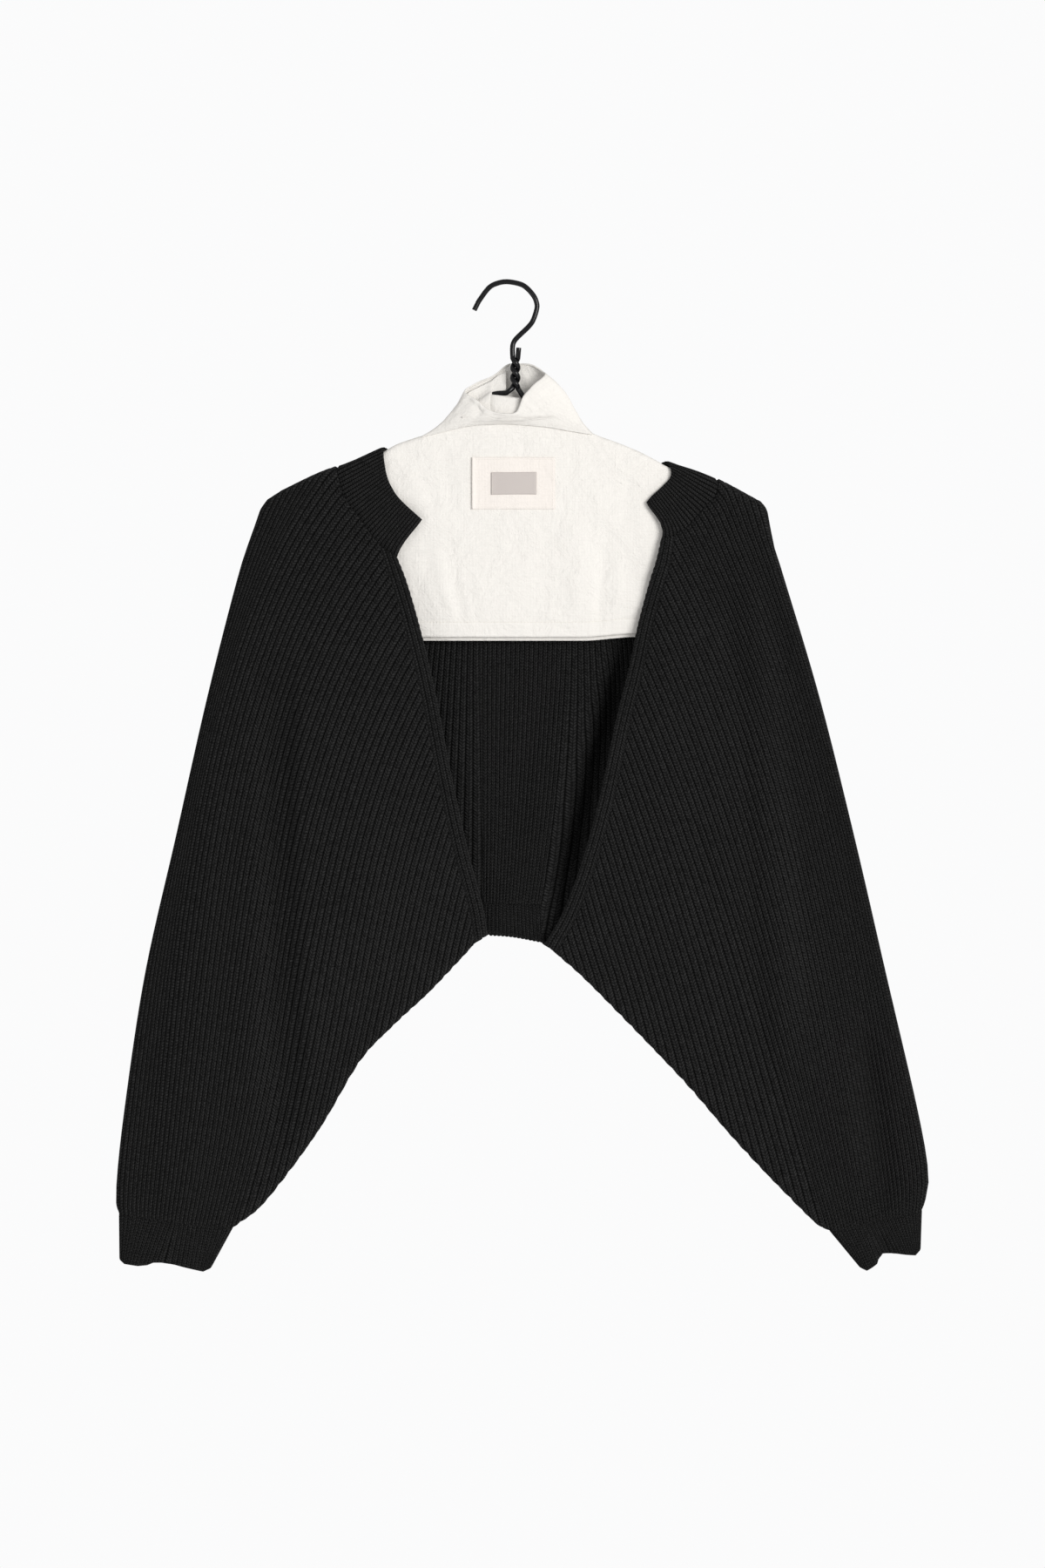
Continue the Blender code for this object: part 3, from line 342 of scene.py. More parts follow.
def grid_mesh(name, grid, weave, material, thickness, ring=False):
    """A sheet of woven cloth from rows and columns of points, with its weave's map in
    millimetres. Solidify gives it its thickness, half to each side."""
    rows, columns = grid.shape[:2]
    number = np.arange(rows * columns).reshape(rows, columns)
    faces = np.stack([number[:-1, :-1], number[:-1, 1:], number[1:, 1:], number[1:, :-1]], axis=-1)
    mesh = bpy.data.meshes.new(name)
    mesh.from_pydata(grid.reshape(-1, 3) * MM, [], faces.reshape(-1, 4).tolist())
    corners = np.empty(len(mesh.loops), np.int32)
    mesh.loops.foreach_get("vertex_index", corners)
    layer = mesh.uv_layers.new(name="weave")
    layer.uv.foreach_set("vector", weave.reshape(-1, 2)[corners].astype(np.float32).ravel())
    if ring:
        work = bmesh.new()
        work.from_mesh(mesh)
        bmesh.ops.remove_doubles(work, verts=work.verts, dist=1e-6)
        work.to_mesh(mesh)
        work.free()
    mesh.materials.append(material)
    mesh.shade_smooth()
    piece = add_object(name, mesh)
    solid = piece.modifiers.new("thickness", "SOLIDIFY")
    solid.thickness = thickness * MM
    solid.offset = 0
    return piece


def math_of(tree, operation, first, second=0.0):
    return add_node(tree, "ShaderNodeMath", {0: first, 1: second}, operation=operation).outputs[0]


def cotton_finish(name, colour, crumple):
    """Plain weave with slubs, soft creases and a little fuzz, on the cloth's own map."""
    material, tree, shader = new_finish(name, colour, 0.92)
    shader.inputs["Sheen Weight"].default_value = 0.08
    weave = add_node(tree, "ShaderNodeUVMap", uv_map="weave").outputs["UV"]
    threads, slubs = [], []
    for direction, stretch in (("X", (0.9, 0.05, 1.0)), ("Y", (0.05, 0.9, 1.0))):
        threads.append(add_node(tree, "ShaderNodeTexWave", {
            "Vector": weave, "Scale": 0.32, "Distortion": 1.2, "Detail": 2.0, "Detail Scale": 1.5,
        }, wave_type="BANDS", bands_direction=direction).outputs["Fac"])
        along = add_node(tree, "ShaderNodeVectorMath", {0: weave, 1: stretch}, operation="MULTIPLY")
        slubs.append(noise(tree, along.outputs[0], 1.0, 2.0))
    slubbed = math_of(tree, "ADD", *slubs)
    add_bumps(tree, shader,
              (noise(tree, weave, 0.035, 5.0, Roughness=0.62, Distortion=0.6), crumple, 0.006),
              (noise(tree, weave, 0.16, 4.0, Roughness=0.7, Distortion=1.4), crumple, 0.0012),
              (slubbed, 0.35, 0.0003),
              (math_of(tree, "ADD", *threads), 0.5, 0.00012))
    shaded = add_node(tree, "ShaderNodeMix", {
        0: mapped(tree, slubbed, 0.0, 1.0, 0.7, 1.3),
        6: (*[share * 0.965 for share in colour], 1), 7: (*colour, 1)}, data_type="RGBA")
    tree.links.new(shaded.outputs[2], shader.inputs["Base Color"])
    return material


def hem_rise(x):
    return HEM_RISE * soft_step((x - 58) / 44)


def hem_closing(z):
    return HEM_CLOSES * soft_step((HEM_STITCHES + 30 - z) / 44)


slopes = {side: smooth_path(arm_path(side, COVER_TOP[side])) for side in SIDES}
cover_edges = {side: np.vstack([slopes[side], (slopes[side][-1, 0], COVER_HEM["back"] - 10)])
               for side in SIDES}
cover = HungCloth([cover_edges["right"], cover_edges["left"][::-1]], radius=COTTON_ROUND_WIRE, seam=COTTON,
                  reach=130.0, depths=COVER_DEPTH, folds=COVER_CREASES, clearance=20.0)
collar_seam = smooth_path([cover_edges["right"][0], *COLLAR_SEAM, cover_edges["left"][0]])
natural_cotton = cotton_finish("natural_cotton", (0.905, 0.88, 0.838), 0.5)

top_edge = np.vstack([offset(slopes["right"], -cover.extra)[::-1], collar_seam[1:-1],
                      offset(slopes["left"], cover.extra)])
first_x = cover_edges["right"][-1, 0] - cover.extra
last_x = cover_edges["left"][-1, 0] + cover.extra
from_side = np.array([0.0, 0.8, 1.6, 2.4, 3.2, 4.2, 5.4, 7.0])
cover_xs = np.array([*(first_x + from_side), *np.linspace(first_x + 10, last_x - 10, 130),
                     *(last_x - from_side[::-1])])
for layer, away in AWAY.items():
    start_z = np.interp(cover_xs, top_edge[:, 0], top_edge[:, 1])
    down_shares = np.concatenate([[0, 0.006, 0.012, 0.018, 0.026, 0.04], np.linspace(0.06, 0.91, 40)])
    rows = [start_z + (HEM_STITCHES - start_z) * share / 0.93 for share in down_shares]
    hem_rows = [HEM_STITCHES + 1.2, HEM_STITCHES, HEM_STITCHES - 1.2,
                *np.linspace(HEM_STITCHES - 2.5, COVER_HEM[layer], 7)]
    heights = np.stack([*rows, *[np.full(len(cover_xs), z) for z in hem_rows]])
    pulled = heights + hem_rise(cover_xs) * soft_step((-215 - heights) / 50)
    flat = np.stack([np.broadcast_to(cover_xs, heights.shape), pulled], axis=-1)
    laid = cover.lay(flat, layer)
    sunk = STITCHES_SINK * np.exp(-((heights - HEM_STITCHES) / 0.9) ** 2)
    hem = HEM_TURNED * soft_step((HEM_STITCHES - heights) / 1.6) - sunk - hem_closing(heights)
    laid[..., 1] += away * hem * soft_step((heights[0] - heights) / 30)
    sheet = grid_mesh(f"cover_{layer}_cotton", laid, flat, natural_cotton, COTTON)
    declare(sheet, f"cover_{layer}", f"cover_{layer}")


# ==== Stitches of the cover's hem ===============================================================
# One line of lockstitch in cream thread holds the turned hem, each stitch sunk a little into the
# cotton. The same stitch, finer, holds the patch and the label further on.
STITCH = {"hem": (2.7, 0.19), "patch": (2.2, 0.17), "label": (1.3, 0.12)}  # pitch, thread's radius


def new_tree(name, values, material):
    """A Geometry Nodes tree with these values and a material as its inputs, the identifier of
    each input, and the sockets that give them."""
    tree = bpy.data.node_groups.new(name, "GeometryNodeTree")
    tree.interface.new_socket("Geometry", in_out="OUTPUT", socket_type="NodeSocketGeometry")
    names = {}
    kinds = {"Geometry": "Geometry", **dict.fromkeys(values, "Float"), material: "Material"}
    for item, kind in kinds.items():
        socket = tree.interface.new_socket(item, in_out="INPUT", socket_type=f"NodeSocket{kind}")
        names[item] = socket.identifier
        if item in values:
            socket.default_value = values[item]
    return tree, names, tree.nodes.new("NodeGroupInput").outputs


def end_tree(tree, made, material):
    whole = add_node(tree, "GeometryNodeRealizeInstances", {"Geometry": made})
    smooth = add_node(tree, "GeometryNodeSetShadeSmooth", {"Geometry": whole.outputs[0]})
    done = add_node(tree, "GeometryNodeSetMaterial", {"Geometry": smooth.outputs[0], "Material": material})
    add_node(tree, "NodeGroupOutput", {"Geometry": done.outputs[0]})


def stitch_tree():
    """Evenly spaced stitches along the edges of a mesh, each a sunk bead of thread."""
    tree, names, given = new_tree(
        "stitch line", {"Pitch": 0.0025, "Thread Radius": 0.0002, "Share Of Pitch": 0.84}, "Thread")
    path = add_node(tree, "GeometryNodeMeshToCurve", {"Mesh": given["Geometry"]})
    evenly = add_node(tree, "GeometryNodeResampleCurve", {
        "Curve": path.outputs[0], "Length": given["Pitch"]}, mode="LENGTH")
    points = add_node(tree, "GeometryNodeCurveToPoints", {"Curve": evenly.outputs[0]}, mode="EVALUATED")
    bead = add_node(tree, "GeometryNodeMeshIcoSphere", {"Radius": 0.5, "Subdivisions": 2})
    across = math_of(tree, "MULTIPLY", given["Thread Radius"], 2.0)
    long = math_of(tree, "MULTIPLY", given["Pitch"], given["Share Of Pitch"])
    size = add_node(tree, "ShaderNodeCombineXYZ", {"X": across, "Y": across, "Z": long})
    placed = add_node(tree, "GeometryNodeInstanceOnPoints", {
        "Points": points.outputs["Points"], "Instance": bead.outputs["Mesh"],
        "Rotation": points.outputs["Rotation"], "Scale": size.outputs[0]})
    end_tree(tree, placed.outputs[0], given["Thread"])
    return tree, names


def grow(piece, tree, names, values):
    """The piece with the tree's result as its plain mesh."""
    modifier = piece.modifiers.new(tree.name, "NODES")
    modifier.node_group = tree
    for name, value in values.items():
        modifier[names[name]] = value
    return plain_mesh(piece)


def stitch_line(name, paths, kind, slot):
    mesh = bpy.data.meshes.new(name)
    points = np.vstack(paths)
    starts = np.cumsum([len(path) for path in paths])
    edges = [(i - 1, i) for i in range(1, len(points)) if i not in starts]
    mesh.from_pydata(points * MM, edges, [])
    pitch, radius = STITCH[kind]
    values = {"Pitch": pitch * MM, "Thread Radius": radius * MM, "Thread": cream_thread}
    declare(grow(add_object(name, mesh), *stitches, values), slot)


cream_thread, tree, shader = new_finish("cream_thread", (0.80, 0.765, 0.70), 0.75)
strands = noise(tree, add_node(tree, "ShaderNodeTexCoord").outputs["Object"], 2600.0, 2.0)
add_bumps(tree, shader, (strands, 0.5, 0.0001))
stitches = stitch_tree()
for layer in AWAY:
    xs = np.linspace(first_x + 6, last_x - 6, 300)
    lift = COTTON / 2 - 0.22 - hem_closing(HEM_STITCHES)
    path = cover.lay(np.stack([xs, HEM_STITCHES + hem_rise(xs)], axis=1), layer, lift)
    stitch_line(f"cover_{layer}_hem_stitches", [path], "hem", f"cover_{layer}")


# ==== Collar of the cover =======================================================================
# A short funnel of the same cotton, sewn to the top of the cover and standing up round the hook's
# neck. Its mouth is turned in for a hem and dips in front, where a facing lies behind it.
COLLAR_WAIST = (
    (49.0, -3.0, -96.5), (41.0, 3.5, -91.0), (27.0, 7.0, -84.0), (12.0, 8.5, -82.0), (-3.0, 8.5, -83.0),
    (-22.0, 7.5, -90.0), (-36.0, 4.0, -97.0), (-46.0, -1.5, -102.5), (-38.0, -7.0, -106.0),
    (-22.0, -9.0, -108.0), (-4.0, -9.8, -109.2), (12.0, -9.8, -108.5), (26.0, -9.3, -104.5),
    (38.0, -8.0, -100.5),
)
COLLAR_LIP = (
    (27.6, -7.0, -74.0), (26.0, 2.0, -69.5), (18.0, 8.0, -64.3), (8.0, 9.5, -63.4), (-2.0, 9.5, -64.2),
    (-14.0, 8.0, -73.2), (-28.0, 4.0, -79.5), (-36.6, -2.0, -86.6), (-28.0, -8.5, -93.5),
    (-16.5, -11.5, -102.5), (-3.0, -12.5, -105.2), (6.0, -12.0, -103.2), (11.5, -11.5, -91.0),
    (19.0, -11.0, -82.5),
)
COLLAR_STEPS = 14  # columns between two of these points
SKIRT_DROP = 2.2  # at the two ends of the collar, where it flares out to the slopes
COLLAR_TURN = ((0.5, 0.3), (1.0, -0.6))  # inwards, up
SEAM_LAP = (0.8, 1.1)  # of the collar over the cover: down, out
COLLAR_FOLDS = (
    # station and share of the height where each starts and ends, half width in stations, height
    (0.0, 1.0, 0.0, 0.6, 0.8, 3.5),
    (8.2, 1.0, 8.9, 0.55, 0.3, -1.4),
    (9.0, 0.97, 9.4, 0.13, 0.35, 0.8),
    (7.4, 0.93, 7.9, 0.27, 0.3, 0.7),
    (3.0, 0.93, 2.6, 0.13, 0.5, -0.9),
    (5.2, 0.93, 5.4, 0.13, 0.5, 0.9),
)
COLLAR_CREASES = (
    # x and z where each starts and ends, half width, height
    (21.4, -101.2, 41.5, -93.8, 1.8, -1.4),
    (20.0, -98.0, 40.0, -91.2, 2.6, 1.1),
    (40.6, -100.6, 50.5, -97.8, 1.6, -1.2),
    (2.0, -105.8, 40.0, -104.6, 2.8, 1.5),
    (4.0, -109.0, 38.0, -107.8, 2.2, -1.0),
    (12.0, -90.0, 34.0, -84.0, 5.0, 0.9),
    (-36.0, -91.0, -21.0, -106.0, 2.8, -1.8),
    (-52.0, -111.0, -40.0, -97.0, 3.0, 1.0),
    (-30.0, -109.5, -6.0, -108.6, 2.2, -0.9),
)
FACING = {"x": (-17.5, 8.8), "top": (-88.6, -91.8), "foot": -108.0, "depth": (-3.8, -9.0), "tuck": 2.2}
FLAP_TOP = (  # x, y and z along the inside of the collar
    (-38.5, -2.6, -91.5), (-31.9, 0.6, -86.0), (-23.5, 3.6, -81.6), (-15.1, 5.6, -77.4), (-9.5, 7.0, -72.4),
    (-3.0, 7.8, -69.5),
)
FLAP_PIERCED = -14.2  # x where the arm comes out through the flap


def ring_at(points, stations):
    """Places on a closed curve through the points, at stations counted in points."""
    wrapped = smooth_path([*points[-2:], *points, *points[:3]])
    count = (len(wrapped) - 1) // (len(points) + 4)
    places = (np.asarray(stations) + 2) * count
    return np.stack([np.interp(places, np.arange(len(wrapped)), wrapped[:, i]) for i in range(3)], axis=1)


half = len(COLLAR_LIP) // 2
side_end = half * COLLAR_STEPS  # column at the other end of the collar
stations = np.linspace(0, 2 * half, 2 * side_end + 1)
behind, ahead = stations[:side_end + 1], stations[side_end:] - half
foot = np.vstack([
    cover.lay(at_share(collar_seam[::-1], behind / half), "back")[:-1],
    cover.lay(at_share(collar_seam, ahead / half), "front"),
])
foot[:, 1] += np.sign(foot[:, 1]) * SEAM_LAP[1]
foot[:, 2] -= SEAM_LAP[0]
foot[[0, side_end, -1], 1] = 0
waist, lip = ring_at(COLLAR_WAIST, stations), ring_at(COLLAR_LIP, stations)
skirt = (foot + waist) / 2
skirt[:, 2] -= SKIRT_DROP * np.cos(stations * math.pi / half) ** 8
rings = np.stack([foot, skirt, waist, lip])
collar = np.stack([smooth_path(rings[:, i], 11) for i in range(rings.shape[1])], axis=1)
middle = collar.mean(axis=1, keepdims=True)
outward = collar - middle
outward[..., 2] = 0
outward /= np.linalg.norm(outward, axis=2)[..., None]
height = np.linspace(0, 1, len(collar))[:, None]
for start, high, end, low, half_width, rise in COLLAR_FOLDS:
    along = np.clip((high - height) / (high - low), 0, 1)
    off = (stations - start - (end - start) * along + half) % (2 * half) - half
    fade = soft_step((high - height) / 0.15 + 0.4) * soft_step((height - low) / 0.25)
    collar = collar + outward * (rise * fade * np.clip(1 - (off / half_width) ** 2, 0, 1) ** 2)[..., None]
creased = crease_height(COLLAR_CREASES, collar[..., [0, 2]].reshape(-1, 2)).reshape(collar.shape[:2])
collar = collar + outward * (creased * (collar[..., 1] < 0))[..., None]
turned = [collar[-1] - outward[-1] * inwards + (0, 0, up) for inwards, up in COLLAR_TURN]
collar = np.concatenate([collar, np.stack(turned)])
around = lengths(lip)
down_cloth = np.linspace(0, 38, len(collar))[:, None]
weave = np.stack(np.broadcast_arrays(around[None, :] * 1.15, down_cloth), axis=-1)
funnel = grid_mesh("cover_collar", collar, weave, natural_cotton, COTTON, ring=True)
declare(funnel, "cover_neck", "cover_neck")

across = np.linspace(0, 1, 15)[None, :]
down = np.linspace(0, 1, 12)[:, None]
facing = np.stack(np.broadcast_arrays(
    FACING["x"][0] + (FACING["x"][1] - FACING["x"][0]) * across + 0 * down,
    FACING["depth"][0] + (FACING["depth"][1] - FACING["depth"][0]) * down**0.8
    - 1.2 * np.sin(across * math.pi) * (1 - down) + FACING["tuck"] * np.clip(1 - across / 0.2, 0, 1),
    (FACING["top"][0] + (FACING["top"][1] - FACING["top"][0]) * across) * (1 - down) + FACING["foot"] * down,
), axis=-1)
inner_band = grid_mesh("cover_facing", facing, facing[..., [0, 2]], natural_cotton, COTTON)
declare(inner_band, "cover_neck")

top = np.array(FLAP_TOP)
flap_x = np.linspace(top[0, 0], top[-1, 0], 40)
arm_line = smooth_path(arm_path("right", ARM["right"]))[::-1]
arm_z = np.interp(flap_x, arm_line[:, 0], arm_line[:, 1])
behind_arm = soft_step((flap_x - FLAP_PIERCED) / 2.0 + 0.5)
top_y, top_z = (np.interp(flap_x, top[:, 0], top[:, i]) for i in (1, 2))
flap_rows = [
    # y over the arm, y behind it, z
    (top_y, top_y, top_z),
    (0.45 * top_y + 0.9, 0.5 * top_y + 1.8, (top_z + arm_z + 3.2) / 2),
    (np.full(40, 0.4), np.full(40, 3.4), arm_z + 3.0),
    (np.full(40, -3.0), np.full(40, 3.2), arm_z + 0.2),
    (np.full(40, -5.6), np.full(40, 3.0), np.minimum(arm_z - 4.5, -99.0)),
    (np.full(40, -8.6), np.full(40, 3.0), np.full(40, -107.0)),
]
flap_rows = np.stack([np.stack([flap_x, over_arm * (1 - behind_arm) + behind * behind_arm, z], axis=1)
                      for over_arm, behind, z in flap_rows])
flap = np.stack([smooth_path(flap_rows[:, i], 5) for i in range(flap_rows.shape[1])], axis=1)
inner_flap = grid_mesh("cover_collar_flap", flap, flap[..., [0, 2]], natural_cotton, COTTON)
declare(inner_flap, "cover_neck")


# ==== Patch and label ===========================================================================
# A rectangle of cotton with its edges turned under, stitched to the front of the cover. A small
# grey woven label is stitched on it along its two short ends, and carries nothing.
PATCH = ((-30.5, 36.0), (-139.2, -181.0))  # x span, z span
LABEL = ((-15.0, 21.3), (-151.3, -169.2))
PATCH_INSET = 1.7  # from the patch's edge to its stitches
PATCH_LIFT, PATCH_COTTON = 0.85, 0.6  # above the cover's cotton, thickness
LABEL_LIFT, LABEL_WEAVE = 1.45, 0.4


def sewn_on(spans, columns, rows, lift, tilt=0.0):
    """A small rectangle laid on the cover, its middle a little wavy between its edges."""
    xs = np.linspace(*spans[0], columns)
    zs = np.linspace(*spans[1], rows)
    flat = np.stack(np.meshgrid(xs, zs), axis=-1)
    flat[..., 1] += tilt * (flat[..., 0] - xs.mean()) / (xs[-1] - xs[0])
    grid = cover.lay(flat, "front", lift=lift)
    edge = np.minimum(np.minimum(xs - xs[0], xs[-1] - xs), np.minimum(zs[0] - zs, zs - zs[-1])[:, None])
    grid[..., 1] -= 0.25 * np.sin(flat[..., 0] / 7.0 + 1.0) * soft_step(edge / 6)
    return grid, flat


patch_cotton = cotton_finish("patch_cotton", (0.925, 0.87, 0.82), 0.3)
grid, flat = sewn_on(PATCH, 68, 43, PATCH_LIFT)
grid[..., 1] -= 0.9 * soft_step(1 - (flat[..., 0] - PATCH[0][0]) / 4.0)  # its left edge stands up a little
patch = grid_mesh("label_patch_cotton", grid, flat, patch_cotton, PATCH_COTTON)
declare(patch, "label_patch", "label_patch")

label_weave, tree, shader = new_finish("grey_label_weave", (0.60, 0.545, 0.515), 0.6)
weave = add_node(tree, "ShaderNodeUVMap", uv_map="weave").outputs["UV"]
picks, weft = (add_node(tree, "ShaderNodeTexWave", {"Vector": weave, "Scale": scale, "Distortion": 0.5},
                        wave_type="BANDS", bands_direction=direction).outputs["Fac"]
               for direction, scale in (("X", 0.62), ("Y", 0.4)))
satin = add_node(tree, "ShaderNodeMix", {
    0: picks, 6: (0.555, 0.50, 0.475, 1), 7: (0.62, 0.57, 0.54, 1)}, data_type="RGBA")
tree.links.new(satin.outputs[2], shader.inputs["Base Color"])
add_bumps(tree, shader, (math_of(tree, "ADD", picks, weft), 0.6, 0.00008))
shader.inputs["Sheen Weight"].default_value = 0.1
grid, flat = sewn_on(LABEL, 38, 20, LABEL_LIFT, 0.3)
tag = grid_mesh("label_woven", grid, flat, label_weave, LABEL_WEAVE)
declare(tag, "label", "label")

(left, right), (high, low) = PATCH
corners = np.array([(left, high), (right, high), (right, low), (left, low), (left, high)])
middle = np.array([left + right, high + low]) / 2
inset = middle + (corners - middle) * (1 - 2 * PATCH_INSET / np.array([right - left, high - low]))
path = cover.lay(at_share(inset, np.linspace(0, 1, 120)), "front", PATCH_LIFT + PATCH_COTTON / 2 - 0.08)
stitch_line("patch_stitches", [path], "patch", "label_patch")
heights = np.linspace(LABEL[1][0] - 0.6, LABEL[1][1] + 0.6, 24)
ends = [cover.lay(np.stack([np.full(24, x), heights], axis=1), "front", LABEL_LIFT + LABEL_WEAVE / 2)
        for x in (LABEL[0][0] + 0.9, LABEL[0][1] - 0.9)]
stitch_line("label_stitches", ends, "label", "label")


# ==== Back of the shrug =========================================================================
# One panel in half-cardigan rib, matte black chunky yarn, knitted with the backs of both sleeves.
# It hangs over the covered arms and joins the fronts over the shoulders and along the underarms.
WALL = 1.4  # knit between the grooves of its two faces
RIB = 1.7
RIB_INSIDE = 0.9  # share of a rib's height on the inner face
COURSE = 2.4  # one row of stitches
SHRUG_RADIUS = 6.7  # round the wire, at the bottom of the grooves
CREST_SPAN = (60, 190)  # how far out the shrug follows the arm
SEAM_ROOM = -0.9  # the edges that are linked together lie on each other
SLEEVE_FOLD = {  # outer fold from the shoulder tip to the cuff
    "right": ((-194.3, -171.9), (-201.3, -182.4), (-206.9, -199.2), (-218.1, -232.8), (-243.3, -331.5),
              (-268.5, -443.5), (-293.7, -555.5), (-310.5, -667.5), (-316.6, -728.0), (-315.0, -746.5)),
    "left": ((201.0, -173.5), (207.2, -183.1), (211.8, -208.0), (219.5, -232.8), (248.9, -331.5),
             (276.9, -443.5), (302.8, -555.5), (328.7, -667.5), (336.6, -718.0), (332.0, -743.5)),
}
UNDERARM = {  # from the foot of the front edge to the cuff
    "right": ((-17.0, -524.0), (-28.4, -531.0), (-38.2, -541.5), (-64.8, -569.5), (-94.9, -597.5),
              (-120.8, -625.5), (-154.4, -681.5), (-196.4, -737.5), (-221.5, -758.0)),
    "left": ((26.5, -531.0), (36.0, -538.0), (56.4, -555.5), (84.4, -583.5), (138.3, -639.5),
             (187.3, -695.5), (241.9, -751.5), (255.5, -760.5)),
}
NECK_SEAM = {  # from the shoulder to the front trim
    "right": ((-140.4, -146.0), (-135.5, -164.9), (-129.2, -177.5), (-120.8, -188.0), (-112.5, -200.0),
              (-104.0, -210.4)),
    "left": ((168.4, -158.6), (165.5, -169.5), (158.8, -176.8), (150.5, -186.2), (142.5, -195.2),
             (136.0, -199.2), (131.6, -202.1)),
}
BACK_NECK_SEAM = ((-110.0, -172.0), (-60.0, -189.0), (12.0, -196.0), (85.0, -192.0), (140.0, -178.0))
HEM_SEAM = {"right": (-22.5, -497.5), "left": (25.0, -499.0)}
HEM_EDGE = {"right": (-23.5, -526.4), "middle": (0.0, -525.6), "left": (27.0, -531.0)}
NOTCH_ROOM = (-0.6, -0.6)  # from the hem band's sides to the back, at its seam and at its free edge
LAYER_DEPTH = (
    # z, front, back
    (-120, 9.5, 9.0),
    (-220, 14.0, 11.0),
    (-300, 17.0, 12.5),
    (-450, 20.0, 13.5),
    (-600, 20.0, 14.5),
    (-700, 17.0, 14.0),
    (-770, 13.0, 12.0),
)
FOLDS = {
    # top x, top z, foot x, foot z, half width, height, where a minus is a trough
    "front": (
        (-188, -262, -180, -735, 24, -14.0), (-240, -330, -266, -740, 32, 7.5),
        (-95, -330, -128, -600, 34, 2.0), (193, -190, 229, -690, 22, 6.0), (288, -580, 300, -765, 23, -8.5),
        (128, -260, 118, -560, 34, 2.0), (112, -232, 90, -322, 15, -5.5),
    ),
    "back": (
        (103, -270, 35, -518, 19, 15.0), (60, -318, 20, -490, 34, -5.5), (-58, -318, -20, -490, 36, -4.0),
        (162, -285, 190, -720, 24, -4.0), (-168, -285, -200, -735, 24, -4.5),
        (-250, -330, -275, -720, 26, 3.0), (262, -330, 300, -720, 26, 3.0),
    ),
}
# Leg of the outline, ribs that start or end on it, and the lean of its first and last one in
# degrees from the horizontal.
BACK_TOP = (
    ("crest_right", 9, 74, 77),
    ("back_neck", 90, 78, 101),
    ("crest_left", 9, 102, 105),
)
BACK_END = (
    ("cuff_right", 22, 88, 78),
    ("underarm_right", 22, 78, 89),
    ("band_end_right", 1, 90, 90),
    ("hem", 18, 90, 80),
    ("band_end_left", 1, 80, 79),
    ("underarm_left", 22, 79, 101),
    ("cuff_left", 22, 101, 93),
)
RIB_PLACES = (0.0, 0.08, 0.25, 0.42, 0.5, 0.58, 0.75, 0.92)  # columns from one rib's crest to the next one's
SLANT_SHARE = 0.15  # how much a leg's own length counts in spacing ribs that meet it aslant
BOW_RIBS = 20  # ribs beside the sleeve's fold that share its bow
ROWS_NEAR_TOP = np.linspace(0, 14.0, 12)
ROWS_NEAR_END = np.array([8.4, 6.6, 5.0, 3.5, 2.2, 1.1, 0.0])
ROWS_BETWEEN = 38
SHORT_RIB = 60.0  # ribs under this length have their end rows drawn together


def length_where(path, axis, value):
    """Distance along the path to the first place where this coordinate passes the value."""
    side = np.sign(path[:, axis] - value)
    i = int(np.nonzero(side[:-1] * side[1:] <= 0)[0][0])
    share = (value - path[i, axis]) / (path[i + 1, axis] - path[i, axis])
    along = lengths(path)
    return along[i] + share * (along[i + 1] - along[i])


def cut(path, start, end, step=3.0):
    """The stretch of a path between two distances along it, which may run backwards."""
    steps = max(2, int(abs(end - start) / step))
    return at_length(path, np.linspace(start, end, steps + 1))


over, under, shrug_outlines = {}, {}, []
for side, turn in TURN.items():
    rows = [row for row in ARM[side] if CREST_SPAN[0] < row[0] < CREST_SPAN[1]]
    crest = offset(smooth_path(arm_path(side, rows)), -turn * SHRUG_RADIUS)
    fold = offset(smooth_path(SLEEVE_FOLD[side]), turn * RIB)
    over[side] = np.vstack([crest[:-1], fold[1:]])
    under[side] = offset(smooth_path(UNDERARM[side]), -turn * RIB)
    shrug_outlines += [over[side][::turn], under[side][::-turn]]
shrug_outlines.append(np.array([under["right"][0], under["left"][0]]))  # along the hem
shrug = HungCloth(shrug_outlines, radius=SHRUG_RADIUS, seam=0.0, reach=95.0, depths=LAYER_DEPTH,
                  folds=FOLDS, clearance=25.0)
for side, turn in TURN.items():  # from here on, out to where the turning cloth would reach if it lay flat
    over[side] = offset(over[side], -turn * shrug.extra)
    under[side] = offset(under[side], turn * shrug.extra)


def on_crest(side, x):
    return at_length(over[side], [length_where(over[side], 0, x)])[0]


def crest_leg(side):
    return cut(over[side], tips[side], length_where(over[side], 0, NECK_SEAM[side][0][0]))


def cuff_leg(side):
    return np.linspace(over[side][-1], under[side][-1], 20)


def fold_leg(side):
    return cut(over[side], tips[side], lengths(over[side])[-1])


def underarm_leg(side, foot):
    return cut(under[side], lengths(under[side])[-1], foot)


tips = {side: length_where(over[side], 0, SLEEVE_FOLD[side][0][0]) for side in SIDES}


